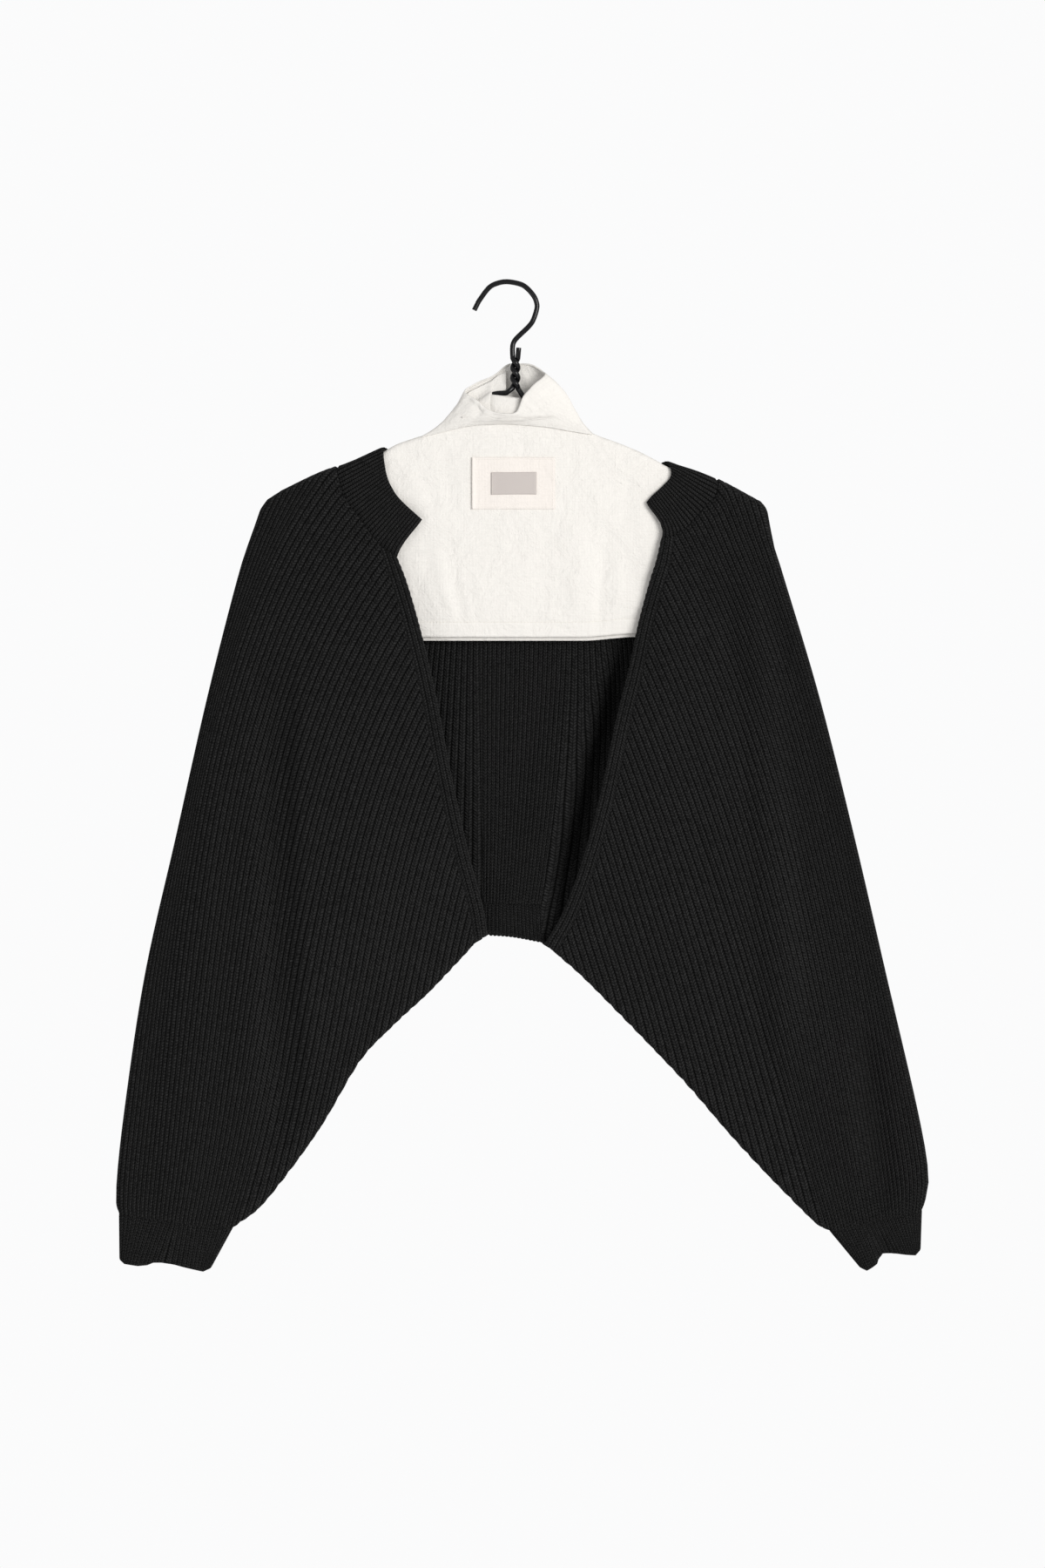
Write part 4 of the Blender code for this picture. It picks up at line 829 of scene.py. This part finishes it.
def rib_ends(legs, rows):
    """Points for every column of each rib along the legs of an outline, with the lean of the rib
    at each. Ribs are one pitch apart across them, so a leg that they meet aslant spreads them."""
    points, leans = [], []
    for name, ribs, lean_start, lean_end in rows:
        leg = legs[name]
        along = lengths(leg)
        lean = np.radians(lean_start + (lean_end - lean_start) * along / along[-1])
        step = np.diff(leg, axis=0)
        middle = (lean[:-1] + lean[1:]) / 2
        across = np.abs(step[:, 0] * np.sin(middle) - step[:, 1] * np.cos(middle))
        gained = np.concatenate([[0.0], np.cumsum(across + SLANT_SHARE * np.linalg.norm(step, axis=1))])
        wanted = rib_columns(ribs) * gained[-1] / ribs
        places = np.interp(wanted[1:] if points else wanted, gained, along)
        points.extend(at_length(leg, places))
        leans.extend(np.interp(places, along, lean))
    return np.array(points), np.array(leans)


def rib_columns(ribs):
    return np.append((np.arange(ribs)[:, None] + RIB_PLACES).ravel(), ribs)


def rib_lines(top, top_lean, end, end_lean, folds, samples=64):
    """Each column as a curve from its start to its end with the leans given. The first rib
    follows the outline's fold, and so does the last where there is one."""
    t = np.linspace(0, 1, samples)[:, None, None]
    span = np.linalg.norm(end - top, axis=1)[:, None]
    leave = -np.stack([np.cos(top_lean), np.sin(top_lean)], axis=1) * span
    arrive = -np.stack([np.cos(end_lean), np.sin(end_lean)], axis=1) * span
    lines = (2 * t**3 - 3 * t**2 + 1) * top + (3 * t**2 - 2 * t**3) * end
    lines += (t**3 - 2 * t**2 + t) * leave + (t**3 - t**2) * arrive
    place = np.arange(len(top)) / len(RIB_PLACES)
    for fold, first in folds:
        rib = lines[:, 0 if first else -1]
        bow = at_share(fold, lengths(rib) / lengths(rib)[-1]) - rib
        share = np.clip(1 - (place if first else place[::-1]) / BOW_RIBS, 0, 1) ** 2
        lines = lines + bow[:, None, :] * share[None, :, None]
    return lines


def panel_grid(lines):
    """The same rows on every column, and how far each point is along it, in stitches that line
    up from rib to rib."""
    grid, along = [], []
    for line in lines.transpose(1, 0, 2):
        long = lengths(line)[-1]
        scale = min(1.0, long / SHORT_RIB)
        top, end = ROWS_NEAR_TOP * scale, long - ROWS_NEAR_END * scale
        between = np.linspace(top[-1], end[0], ROWS_BETWEEN + 2)[1:-1]
        along.append(np.concatenate([top, between, end]))
        grid.append(at_length(line, along[-1]))
    start = lines[0]
    way = lines[1] - lines[0]
    way /= np.linalg.norm(way, axis=1)[:, None]
    ahead = np.concatenate([[0.0], np.cumsum((np.diff(start, axis=0) * way[:-1]).sum(1))])
    return np.stack(grid, axis=1), (np.stack(along, axis=1) + ahead) / COURSE


def surface_normals(grid, outward, ring):
    """Unit normals of a grid of points, on the side that faces the outward vector at its middle."""
    if ring:
        grid = np.concatenate([grid[:, -2:-1], grid, grid[:, 1:2]], axis=1)
    normal = np.cross(np.gradient(grid, axis=1), np.gradient(grid, axis=0))
    normal /= np.maximum(np.linalg.norm(normal, axis=2), 1e-9)[..., None]
    if ring:
        normal, grid = normal[:, 1:-1], grid[:, 1:-1]
    if normal[grid.shape[0] // 2, grid.shape[1] // 2] @ np.asarray(outward, float) < 0:
        normal = -normal
    square = normal * (1, 0, 1)  # front and back end square where they meet
    meet = (np.abs(grid[..., 1]) < 0.01) & (np.linalg.norm(square, axis=2) > 0.2)
    normal = np.where(meet[..., None], square, normal)
    return normal / np.linalg.norm(normal, axis=2)[..., None]


def rib_tree():
    """Rounded ribs raised on the two faces of a plain wall of knit."""
    tree, names, given = new_tree("knitted ribs", {"Rib Height": 0.0017, "Roundness": 0.5}, "Yarn")
    value = partial(math_of, tree)
    found = {}
    for name, kind in (("rib", "FLOAT"), ("raise", "FLOAT"), ("outward", "FLOAT_VECTOR")):
        read = add_node(tree, "GeometryNodeInputNamedAttribute", {"Name": name}, data_type=kind)
        found[name] = read.outputs["Attribute"]
    wave = value("ABSOLUTE", value("SINE", value("MULTIPLY", found["rib"], math.pi)))
    high = value("MULTIPLY", value("POWER", wave, given["Roundness"]), found["raise"])
    high = value("MULTIPLY", high, given["Rib Height"])
    lifted = add_node(tree, "ShaderNodeVectorMath", {0: found["outward"], "Scale": high}, operation="SCALE")
    ribbed = add_node(tree, "GeometryNodeSetPosition", {
        "Geometry": given["Geometry"], "Offset": lifted.outputs[0]})
    end_tree(tree, ribbed.outputs[0], given["Yarn"])
    return tree, names


def quads(number):
    corners = number[:-1, :-1], number[1:, :-1], number[1:, 1:], number[:-1, 1:]
    return np.stack(corners, axis=-1).reshape(-1, 4)


def knit_piece(name, grid, outward, rib, course, fade=1.0, body=1.0, layer=None, ring=False,
               height=RIB, yarn=None):
    """A closed wall of knit on a grid at the bottom of its outer grooves, with ribs on both faces.
    rib and course count ribs across and stitches along, fade lowers the ribs, and body thins
    the wall to a rounded edge. A front or back stays on its side of where the two meet."""
    rows, columns = grid.shape[:2]
    normal = surface_normals(grid, outward, ring)
    half = normal * (WALL / 2 * np.broadcast_to(body, (rows, columns)))[..., None]
    core = grid - normal * WALL / 2
    walls = np.stack([core + half, core - half])
    if layer:
        walls[..., 1] = AWAY[layer] * np.maximum(AWAY[layer] * walls[..., 1], 0.02)
    places = np.arange(walls[..., 0].size).reshape(2, rows, columns)
    faces = [quads(places[0]), quads(places[1])[:, ::-1], quads(places[:, 0]), quads(places[:, -1])[:, ::-1]]
    if not ring:
        faces += [quads(places[:, :, 0])[:, ::-1], quads(places[:, :, -1])]
    faces = np.vstack(faces)
    joined = places.copy()
    if ring:
        joined[:, :, -1] = joined[:, :, 0]
    kept, used = np.unique(joined.ravel()[faces], return_inverse=True)
    mesh = bpy.data.meshes.new(name)
    mesh.from_pydata(walls.reshape(-1, 3)[kept] * MM, [], used.reshape(-1, 4).tolist())
    rib, course, fade = (np.broadcast_to(values, (rows, columns)) for values in (rib, course, fade))
    stitch = np.stack([np.stack([rib, rib + 0.5]), np.stack([course, course])], axis=-1).reshape(-1, 2)
    facts = {
        "rib": stitch[:, 0],
        "raise": np.stack([fade, fade * RIB_INSIDE]).ravel(),
        "outward": np.stack([normal, -normal]).reshape(-1, 3),
    }
    for fact, values in facts.items():
        kind, field = ("FLOAT_VECTOR", "vector") if values.ndim == 2 else ("FLOAT", "value")
        stored = mesh.attributes.new(fact, kind, "POINT")
        stored.data.foreach_set(field, values[kept].astype(np.float32).ravel())
    chart = mesh.uv_layers.new(name="stitches")
    chart.uv.foreach_set("vector", stitch[faces.ravel()].astype(np.float32).ravel())
    work = bmesh.new()
    work.from_mesh(mesh)
    bmesh.ops.recalc_face_normals(work, faces=work.faces)
    work.to_mesh(mesh)
    work.free()
    piece = grow(add_object(name, mesh), *ribs, {"Rib Height": height * MM, "Yarn": yarn or black_knit})
    for fact in facts:
        piece.data.attributes.remove(piece.data.attributes[fact])
    return piece


def knit_finish(name, colour, groove_painted_shade, stitch_painted_light, groove_from=0.3):
    """Black yarn: two legs to each stitch that meet at the middle of the rib, fuzz on them, and
    painted shade in the grooves, down to this share of the colour at a groove's bottom. The next
    pair gives the painted shade between the stitches and the painted highlight on them. It reads
    the ribs across and the stitches along from the piece's own map."""
    material, tree, shader = new_finish(name, colour, 0.95)
    shader.inputs["Specular IOR Level"].default_value = 0.03
    shader.inputs["Sheen Weight"].default_value = 0.04
    shader.inputs["Sheen Roughness"].default_value = 0.4
    value, eased = partial(math_of, tree), {"interpolation_type": "SMOOTHSTEP"}
    chart = add_node(tree, "ShaderNodeUVMap", uv_map="stitches").outputs["UV"]
    place = add_node(tree, "ShaderNodeTexCoord").outputs["Object"]
    split = add_node(tree, "ShaderNodeSeparateXYZ", {0: chart}).outputs
    from_crest = value("ABSOLUTE", value("SUBTRACT", value("FRACT", split["X"]), 0.5))
    leg = value("ADD", split["Y"], value("MULTIPLY", from_crest, 1.7))
    leg = value("ADD", leg, value("MULTIPLY", noise(tree, place, 240.0, 2.0), 0.5))
    of_rib = add_node(tree, "ShaderNodeTexWhiteNoise", {
        "W": value("FLOOR", split["X"])}, noise_dimensions="1D")
    leg = value("ADD", leg, of_rib.outputs["Value"])
    cell = add_node(tree, "ShaderNodeCombineXYZ", {
        "X": value("FLOOR", value("MULTIPLY", split["X"], 4.0)),
        "Y": value("FLOOR", value("MULTIPLY", leg, 2.0))})
    odd = add_node(tree, "ShaderNodeTexWhiteNoise", {"Vector": cell.outputs[0]}, noise_dimensions="3D")
    leg_round = value("SINE", value("MULTIPLY", value("FRACT", leg), math.pi))
    middle = mapped(tree, from_crest, 0.25, 1.0, 0.0, 0.11, **eased)
    stitch = value("MULTIPLY", value("POWER", leg_round, 0.7), middle)
    fuzz = noise(tree, place, 1500.0, 4.0, Roughness=0.7)
    add_bumps(tree, shader, (stitch, 1.0, 0.0013), (fuzz, 0.6, 0.0004))
    # painted shade: the colour darkens towards the bottom of each groove
    painted_groove_shade = mapped(tree, from_crest, groove_painted_shade, 1.0, 0.5, groove_from, **eased)
    # painted shade between the stitches and a painted highlight on their tops, times the painted groove shade
    painted_shade_and_tone = value("MULTIPLY", painted_groove_shade, mapped(tree, stitch, *stitch_painted_light))
    # the fuzz and the odd stitches vary the yarn's own tone at random
    painted_shade_and_tone = value("MULTIPLY", painted_shade_and_tone, mapped(tree, fuzz, 0.75, 1.25, 0.3, 0.7))
    painted_shade_and_tone = value("MULTIPLY", painted_shade_and_tone, mapped(tree, odd.outputs["Value"], 0.58, 1.42))
    tint = add_node(tree, "ShaderNodeVectorMath", {0: colour, "Scale": painted_shade_and_tone}, operation="SCALE")
    tree.links.new(tint.outputs[0], shader.inputs["Base Color"])
    return material


def flat_size(flat):
    """Width, length and area of a flat grid of x and z, in metres."""
    low, high = flat.reshape(-1, 2).min(0), flat.reshape(-1, 2).max(0)
    one, two = flat[1:, 1:] - flat[:-1, :-1], flat[1:, :-1] - flat[:-1, 1:]
    area = np.abs(one[..., 0] * two[..., 1] - one[..., 1] * two[..., 0]).sum() / 2
    return tuple((high - low) * MM), area * MM * MM


def add_panel(name, layer, tops, top_rows, ends, end_rows, folds, linked):
    """A panel from where its ribs start to where they end, raised out of its seams. The ribs
    between the two that linked gives start at a seam, and so are low there."""
    top, top_lean = rib_ends(tops, top_rows)
    end, end_lean = rib_ends(ends, end_rows)
    flat, course = panel_grid(rib_lines(top, top_lean, end, end_lean, folds))
    crests = rib_columns(sum(row[1] for row in top_rows))
    seamed = (crests >= linked[0]) & (crests <= linked[1])
    from_top, from_end = (np.linalg.norm(flat - edge, axis=2) for edge in (flat[:1], flat[-1:]))
    fade = np.where(seamed, 0.55 + 0.45 * soft_step(from_top / 3.0), 1.0)
    fade *= 0.55 + 0.45 * soft_step(from_end / 4.0)
    return knit_piece(name, shrug.lay(flat, layer), (0, AWAY[layer], 0), crests + 0.5, course,
                      fade, 1.0, layer), flat_size(flat)


def declare_knit(piece, slot, nodes=()):
    declare(piece, slot, *(nodes or [slot]))


ribs = rib_tree()
# the last numbers give each knit its painted groove shade and the painted shade and highlight of its stitches
black_knit = knit_finish("black_rib_knit", (0.0190, 0.0191, 0.0192), 0.12, (0.3, 1.35))
black_fine_knit = knit_finish("black_fine_knit", (0.0295, 0.0296, 0.0297), 0.08, (0.5, 1.2), 0.08)
back_neck_seam = smooth_path([on_crest("right", NECK_SEAM["right"][0][0]), *BACK_NECK_SEAM,
                              on_crest("left", NECK_SEAM["left"][0][0])])
tops, ends, notch = {"back_neck": back_neck_seam}, {}, {}
for side, turn in TURN.items():
    tops[f"crest_{side}"] = crest_leg(side)[::turn]
    corner = length_where(under[side], 0, HEM_EDGE[side][0] - turn * NOTCH_ROOM[1])
    underarm = underarm_leg(side, corner)
    notch[side] = np.array(HEM_SEAM[side]) - (turn * NOTCH_ROOM[0], 0)
    ends[f"cuff_{side}"] = cuff_leg(side)[::turn]
    ends[f"underarm_{side}"] = underarm[::turn]
    ends[f"band_end_{side}"] = np.array([underarm[-1], notch[side]])[::turn]
ends["hem"] = np.array([notch["right"], notch["left"]])
back, size = add_panel("knit_back", "back", tops, BACK_TOP, ends, BACK_END,
                       [(fold_leg("right"), True), (fold_leg("left"), False)], (9, 99))
declare_knit(back, "back_middle",
             ["back_right_sleeve", "back_right", "back_middle", "back_left", "back_left_sleeve"])


# ==== Fronts of the shrug =======================================================================
# Two panels in the same rib and yarn, each with the front of its sleeve. They hang from the
# shoulders in soft folds and are linked to the back along the underarms.
FRONT_TOP = {
    "right": (("crest", 9, 74, 54), ("neck", 12, 54, 52), ("trim", 36, 52, 79)),
    "left": (("crest", 5, 103, 112), ("neck", 12, 112, 119), ("trim", 40, 119, 102)),
}
FRONT_END = {
    "right": (("cuff", 31, 88, 72), ("underarm", 26, 72, 80)),
    "left": (("cuff", 31, 93, 107), ("underarm", 26, 106, 102)),
}
FRONT_EDGE = {  # from the neckband to the underarm
    "right": ((-90.0, -219.4), (-82.0, -240.0), (-71.1, -277.6), (-59.9, -323.8), (-47.3, -388.2),
              (-33.3, -452.6), (-21.5, -497.0), (-17.0, -524.0)),
    "left": ((120.8, -205.0), (118.5, -215.3), (115.9, -225.4), (111.7, -238.4), (102.6, -272.0),
             (95.6, -304.9), (84.4, -349.7), (71.1, -412.0), (56.4, -465.2), (41.7, -504.4), (26.5, -531.0)),
}
TRIM_WIDTH = 12.0
TRIM_TAPER = 16.0  # from the neckband to where the trim has its width
TRIM_FOOT = 13.5
TRIM_FOOT_ROOM = 1.2  # along the underarm, from the trim to the front's last rib
FRONT_NODES = {"right": ("front_right_sleeve", "front_right"), "left": ("front_left",)}


def trim_seam(side):
    """Seam of the front trim to the front, from the neckband down to the underarm."""
    seam = offset(smooth_path(FRONT_EDGE[side]), -TURN[side] * TRIM_WIDTH)
    foot = at_length(under[side], [TRIM_FOOT])[0]
    reach = length_where(seam, 1, foot[1] + TRIM_WIDTH)
    return np.vstack([NECK_SEAM[side][-1], cut(seam, TRIM_TAPER, reach), foot])


def neck_leg(side):
    return smooth_path([on_crest(side, NECK_SEAM[side][0][0]), *NECK_SEAM[side][1:]])


fronts = {}
for side in SIDES:
    tops = {"crest": crest_leg(side), "neck": neck_leg(side), "trim": trim_seam(side)}
    ends = {"cuff": cuff_leg(side), "underarm": underarm_leg(side, TRIM_FOOT + TRIM_FOOT_ROOM)}
    linked = (FRONT_TOP[side][0][1], 57)
    fronts[side], size = add_panel(f"knit_front_{side}", "front", tops, FRONT_TOP[side], ends,
                                   FRONT_END[side], [(fold_leg(side), True)], linked)
    declare_knit(fronts[side], f"front_{side}", FRONT_NODES[side])


# ==== Neckband ==================================================================================
# One long strip of fine rib, its ribs across it, linked round the neckline. Its two ends hang
# free on the fronts, and its inner edge is rounded where the knit turns.
FINE_RIB_PITCH = 2.95
FINE_RIB = 1.2
RIB_STEPS = 6  # columns to a fine rib
NECKBAND_COURSES = 42.0 / 1.9  # from its seam to its edge
NECKBAND_LIFT = 0.4  # above the panels
NECK_EDGE = {  # inner edge of the neckband, from the shoulder to its free tip
    "right": ((-102.6, -131.0), (-99.1, -152.3), (-93.5, -165.6), (-85.8, -175.4), (-70.4, -189.4)),
    "left": ((127.8, -142.0), (129.2, -153.7), (122.8, -162.1), (114.5, -169.8), (109.6, -175.4)),
}
BACK_NECK_EDGE = ((-85.0, -141.0), (-50.0, -148.5), (12.0, -154.0), (75.0, -151.5), (112.0, -147.0))
END_HOLLOW = {"right": 1.9, "left": 4.7}  # how far each free end curves in
BAND_ROWS = np.array([0.0, 0.032, 0.085, 0.2, 0.4, 0.6, 0.8, 0.92, 0.965, 0.99, 1.0])
BAND_BODY = np.array([0.1, 0.16, 1, 1, 1, 1, 1, 1, 0.9, 0.65, 0.25])


def fine_rib(seam, edge, pitch):
    """Flat grid of a band, from its seam to its free edge, with a whole number of ribs along it."""
    count = round((lengths(seam)[-1] + lengths(edge)[-1]) / 2 / pitch)
    shares = np.linspace(0, 1, RIB_STEPS * count + 1)
    across = np.reshape(BAND_ROWS, (-1, 1, 1))
    return (1 - across) * at_share(seam, shares) + across * at_share(edge, shares)


strips = {}
for side, turn in TURN.items():
    seam = offset(neck_leg(side), turn * SEAM_ROOM)
    foot = offset(np.array([NECK_SEAM[side][-1], FRONT_EDGE[side][0]]), turn * SEAM_ROOM)
    edge = smooth_path([on_crest(side, NECK_EDGE[side][0][0]), *NECK_EDGE[side][1:]])
    flat = fine_rib(np.vstack([seam[:-1], foot[1:]]), edge, FINE_RIB_PITCH)
    along_end = flat[:, -2] - flat[:, -1]
    along_end /= np.linalg.norm(along_end, axis=1)[:, None]
    from_end = np.linalg.norm(flat - flat[:, -1:], axis=2)
    bend = 6.75 * BAND_ROWS * (1 - BAND_ROWS) ** 2
    hollow = END_HOLLOW[side] * bend[:, None] * np.clip(1 - from_end / 20, 0, 1)
    strips[side] = shrug.lay(flat + along_end[:, None] * hollow[..., None], "front", NECKBAND_LIFT)
edge_ends = [on_crest(side, NECK_EDGE[side][0][0]) for side in SIDES]
flat = fine_rib(offset(back_neck_seam, SEAM_ROOM), smooth_path([edge_ends[0], *BACK_NECK_EDGE, edge_ends[1]]),
                FINE_RIB_PITCH)
grid = np.concatenate([strips["right"][:, :0:-1], shrug.lay(flat, "back", NECKBAND_LIFT)[:, 1:-1],
                       strips["left"]], axis=1)
for column in (strips["right"].shape[1] - 1, grid.shape[1] - strips["left"].shape[1]):
    grid[:, column - 1:column + 2, 1] *= 0.6  # flatter where it turns over a shoulder
phase = np.arange(grid.shape[1]) / RIB_STEPS
body = BAND_BODY[:, None] * np.clip(0.3 + np.minimum(phase, phase[-1] - phase) / 1.2, 0, 1)
fade = np.minimum(1, body * 1.05) * (0.45 + 0.55 * soft_step(BAND_ROWS / 0.06))[:, None]
course = (BAND_ROWS * NECKBAND_COURSES)[:, None]
neckband = knit_piece("knit_neckband", grid, (0, 1, 0), phase, course, fade, body, height=FINE_RIB,
                      yarn=black_fine_knit)
long = phase[-1] * FINE_RIB_PITCH
declare_knit(neckband, "neckband")


# ==== Front trims ===============================================================================
# A narrow edging knitted on along each front, a few stitches wide. It rolls a little to the front,
# and its free edge is knotted once for every two rows.
TRIM_PROFILE = ((0.0, -0.55), (0.06, -0.4), (0.3, 1.1), (0.6, 1.3), (0.85, 0.5), (1.0, -0.7))  # share, height
TRIM_WALES = 3
TRIM_COURSE = 2.2
TRIM_SCALLOP = (5.5, 0.45)  # pitch along the edge, depth
TRIM_ROWS = np.array([0.0, 0.04, 0.11, 0.2, 0.3, 0.333, 0.367, 0.45, 0.55, 0.633, 0.667, 0.7, 0.78, 0.87,
                      0.94, 0.98, 1.0])
TRIM_BODY = np.array([0.6] + [1.0] * 12 + [0.9, 0.75, 0.5, 0.25])

for side, turn in TURN.items():
    seam = offset(trim_seam(side), turn * SEAM_ROOM)
    edge = smooth_path(FRONT_EDGE[side])
    long = lengths(edge)[-1]
    shares = np.linspace(0, 1, 361)
    knots = TRIM_SCALLOP[1] * np.abs(np.sin(math.pi * shares * long / TRIM_SCALLOP[0]))
    edge = offset(at_share(edge, shares), turn * (knots - TRIM_SCALLOP[1]))
    across = np.reshape(TRIM_ROWS, (-1, 1, 1))
    flat = at_share(seam, shares) * (1 - across) + edge * across
    grid = shrug.lay(flat, "front")
    grid[..., 1] -= np.interp(TRIM_ROWS, *zip(*TRIM_PROFILE))[:, None]
    fade = np.interp(TRIM_ROWS, (0, 0.1, 0.9, 1), (0.5, 1, 1, 0.3))[:, None]
    trim = knit_piece(f"knit_front_trim_{side}", grid, (0, -1, 0), (TRIM_ROWS * TRIM_WALES)[:, None],
                      shares[None] * long / TRIM_COURSE, fade, TRIM_BODY[:, None], "front", height=0.8)
    declare_knit(trim, f"front_trim_{side}")


# ==== Hem band ==================================================================================
# A short band of the same fine rib, knitted on at the foot of the back between the two trims.
HEM_RIB_PITCH = 3.0
HEM_COURSES = 29.0 / 2.0

seam = np.array([HEM_SEAM["right"], HEM_SEAM["left"]]) - (0, SEAM_ROOM)
edge = smooth_path([HEM_EDGE["right"], HEM_EDGE["middle"], HEM_EDGE["left"]])
flat = fine_rib(seam, edge, HEM_RIB_PITCH)
fade = (BAND_BODY * (0.5 + 0.5 * soft_step(BAND_ROWS / 0.1)))[:, None]
body = np.where(BAND_ROWS < 0.5, 1.0, BAND_BODY)[:, None]
phase = np.arange(flat.shape[1]) / RIB_STEPS
course = (BAND_ROWS * HEM_COURSES)[:, None]
hem_band = knit_piece("knit_hem_band", shrug.lay(flat, "back"), (0, 1, 0), phase, course, fade, body,
                      "back", height=FINE_RIB)
declare_knit(hem_band, "hem_band")


# ==== Cuffs =====================================================================================
# Deep bands of fine rib knitted on at the ends of the sleeves. They hang pressed flat, a little
# wavy at the free edge, and the wearer's left one has a soft crease down its front.
CUFF_RIBS = 29  # on each face
CUFF_COURSES = 34.0 / 2.0
CUFF_DEPTH = 9.0
CUFF_ROOM = -0.8
CUFF_ROWS = np.concatenate([[0.0, 0.01, 0.03], np.linspace(0.07, 0.93, 18), [0.965, 0.985, 1.0]])
CUFF_BODY = np.array([0.7, 0.9] + [1.0] * 19 + [0.9, 0.65, 0.25])
CUFF_FOOT = {  # x and z of the free edge in front, from the outer fold to the inner one
    "right": ((-312.9, -784.5), (-309.8, -786.8), (-298.6, -788.2), (-290.9, -787.4), (-286.0, -785.4),
              (-279.7, -785.4), (-268.5, -787.4), (-257.3, -790.2), (-246.1, -793.0), (-241.8, -791.2)),
    "left": ((329.2, -776.5), (326.0, -779.8), (311.2, -778.5), (299.8, -778.5), (296.0, -783.0),
             (295.0, -786.5), (290.9, -789.5), (286.4, -792.3), (283.0, -790.5)),
}
CUFF_CREASE = {"right": (-271.0, 6.0, 0.25), "left": (303.0, 7.5, 0.75)}  # x at the foot, half width, share


def pressed(wave):
    """A round wave with flatter tops."""
    return np.sign(wave) * np.abs(wave) ** 0.83


for side in SIDES:
    columns = rib_columns(CUFF_RIBS)
    shares = columns / CUFF_RIBS
    legs = [at_share(shrug.lay(at_share(cuff_leg(side), np.linspace(0, 1, 120)), layer), shares)
            for layer in AWAY]
    top = np.vstack([legs[0], legs[1][-2::-1]])
    top[[0, len(shares) - 1, -1], 1] = 0
    top[:, 2] -= CUFF_ROOM
    table = np.array(CUFF_FOOT[side])
    outer, inner = table[0, 0], table[-1, 0]
    angle = np.concatenate([shares, 1 + shares[1:]]) * math.pi
    flat_x = (outer + inner) / 2 + (outer - inner) / 2 * pressed(np.cos(angle))
    order = np.argsort(table[:, 0])
    foot_z = np.interp(flat_x, table[order, 0], table[order, 1])
    foot_z = np.where(np.sin(angle) < 0, foot_z + 1.5 * np.abs(np.sin(angle)), foot_z)
    crease_x, crease_half, crease_share = CUFF_CREASE[side]
    crease = crease_share * np.exp(-((flat_x - crease_x) / crease_half) ** 2) * (np.sin(angle) > 0)
    foot = np.stack([flat_x, -CUFF_DEPTH * pressed(np.sin(angle)) * (1 - crease), foot_z], axis=1)
    across = CUFF_ROWS[:, None, None]
    grid = (1 - across) * top + across * foot
    outward = grid[len(grid) // 2, len(shares) - 1] - grid.mean(axis=(0, 1))
    fade = (CUFF_BODY * (0.5 + 0.5 * soft_step(CUFF_ROWS / 0.05)))[:, None]
    phase = np.concatenate([columns, CUFF_RIBS + columns[1:]]) + 0.5
    course = (CUFF_ROWS * CUFF_COURSES)[:, None]
    cuff = knit_piece(f"knit_cuff_{side}", grid, outward, phase, course, fade, CUFF_BODY[:, None],
                      ring=True, height=1.0)
    declare_knit(cuff, f"cuff_{side}")


# ==== Floor, lights and camera ==================================================================
# A plain pale floor under the hanging shrug, pale soft light all round, one large soft light from
# the upper right in front, and two weak ones that lighten the shadows in front and behind.
LIGHTS = {  # place, width, watts, colour
    "window_light": ((2.6, -3.85, 0.4), 2.2, 149.0, (1.0, 0.99, 0.975)),
    "reflector": ((-2.6, -2.6, -1.3), 2.0, 14.0, (1, 1, 1)),
    "back_reflector": ((-1.8, 4.0, 0.6), 2.5, 60.0, (1, 1, 1)),
}
SENSOR_HEIGHT = 24.0  # of the camera, in millimetres
CAMERA_AWAY, SEEN_HEIGHT = 4.0, 1.26  # in metres, the height at the hanger

floor_mesh = bpy.data.meshes.new("floor")
work = bmesh.new()
bmesh.ops.create_circle(work, cap_ends=True, cap_tris=True, segments=96, radius=1.3)
bmesh.ops.translate(work, verts=work.verts, vec=(0, 0, -1.3))
work.to_mesh(floor_mesh)
work.free()
floor_mesh.materials.append(new_finish("pale_floor", (0.93, 0.93, 0.925), 0.9)[0])
add_object("floor", floor_mesh)

world = bpy.data.worlds.new("pale_room")
bpy.context.scene.world = world
world.use_nodes = True
tree = world.node_tree
seen = tree.nodes["Background"]
seen.inputs["Color"].default_value = (0.965, 0.965, 0.968, 1)
lighting = add_node(tree, "ShaderNodeBackground", {"Color": (0.97, 0.965, 0.965, 1), "Strength": 0.48})
ray = add_node(tree, "ShaderNodeLightPath")
either = add_node(tree, "ShaderNodeMixShader", {
    0: ray.outputs["Is Camera Ray"], 1: lighting.outputs[0], 2: seen.outputs[0]})
tree.links.new(either.outputs[0], tree.nodes["World Output"].inputs["Surface"])

middle_of_part = (solid_box[0] + solid_box[1]) / 2
for name, (place, width, watts, colour) in LIGHTS.items():
    data = bpy.data.lights.new(name, "AREA")
    data.shape = "SQUARE"
    data.size = width
    data.energy = watts
    data.color = colour
    light = add_object(name, data)
    light.location = place
    light.rotation_euler = (light.location - middle_of_part).to_track_quat("Z", "Y").to_euler()

camera_data = bpy.data.cameras.new("camera")
camera_data.sensor_fit = "VERTICAL"
camera_data.sensor_height = SENSOR_HEIGHT
camera_data.lens = SENSOR_HEIGHT * CAMERA_AWAY / SEEN_HEIGHT
camera = add_object("camera", camera_data)
camera.location = (0.01015, -CAMERA_AWAY, -0.4015)
camera.rotation_euler = (math.pi / 2, 0, 0)
bpy.context.scene.camera = camera
bpy.context.scene.view_settings.view_transform = "Standard"
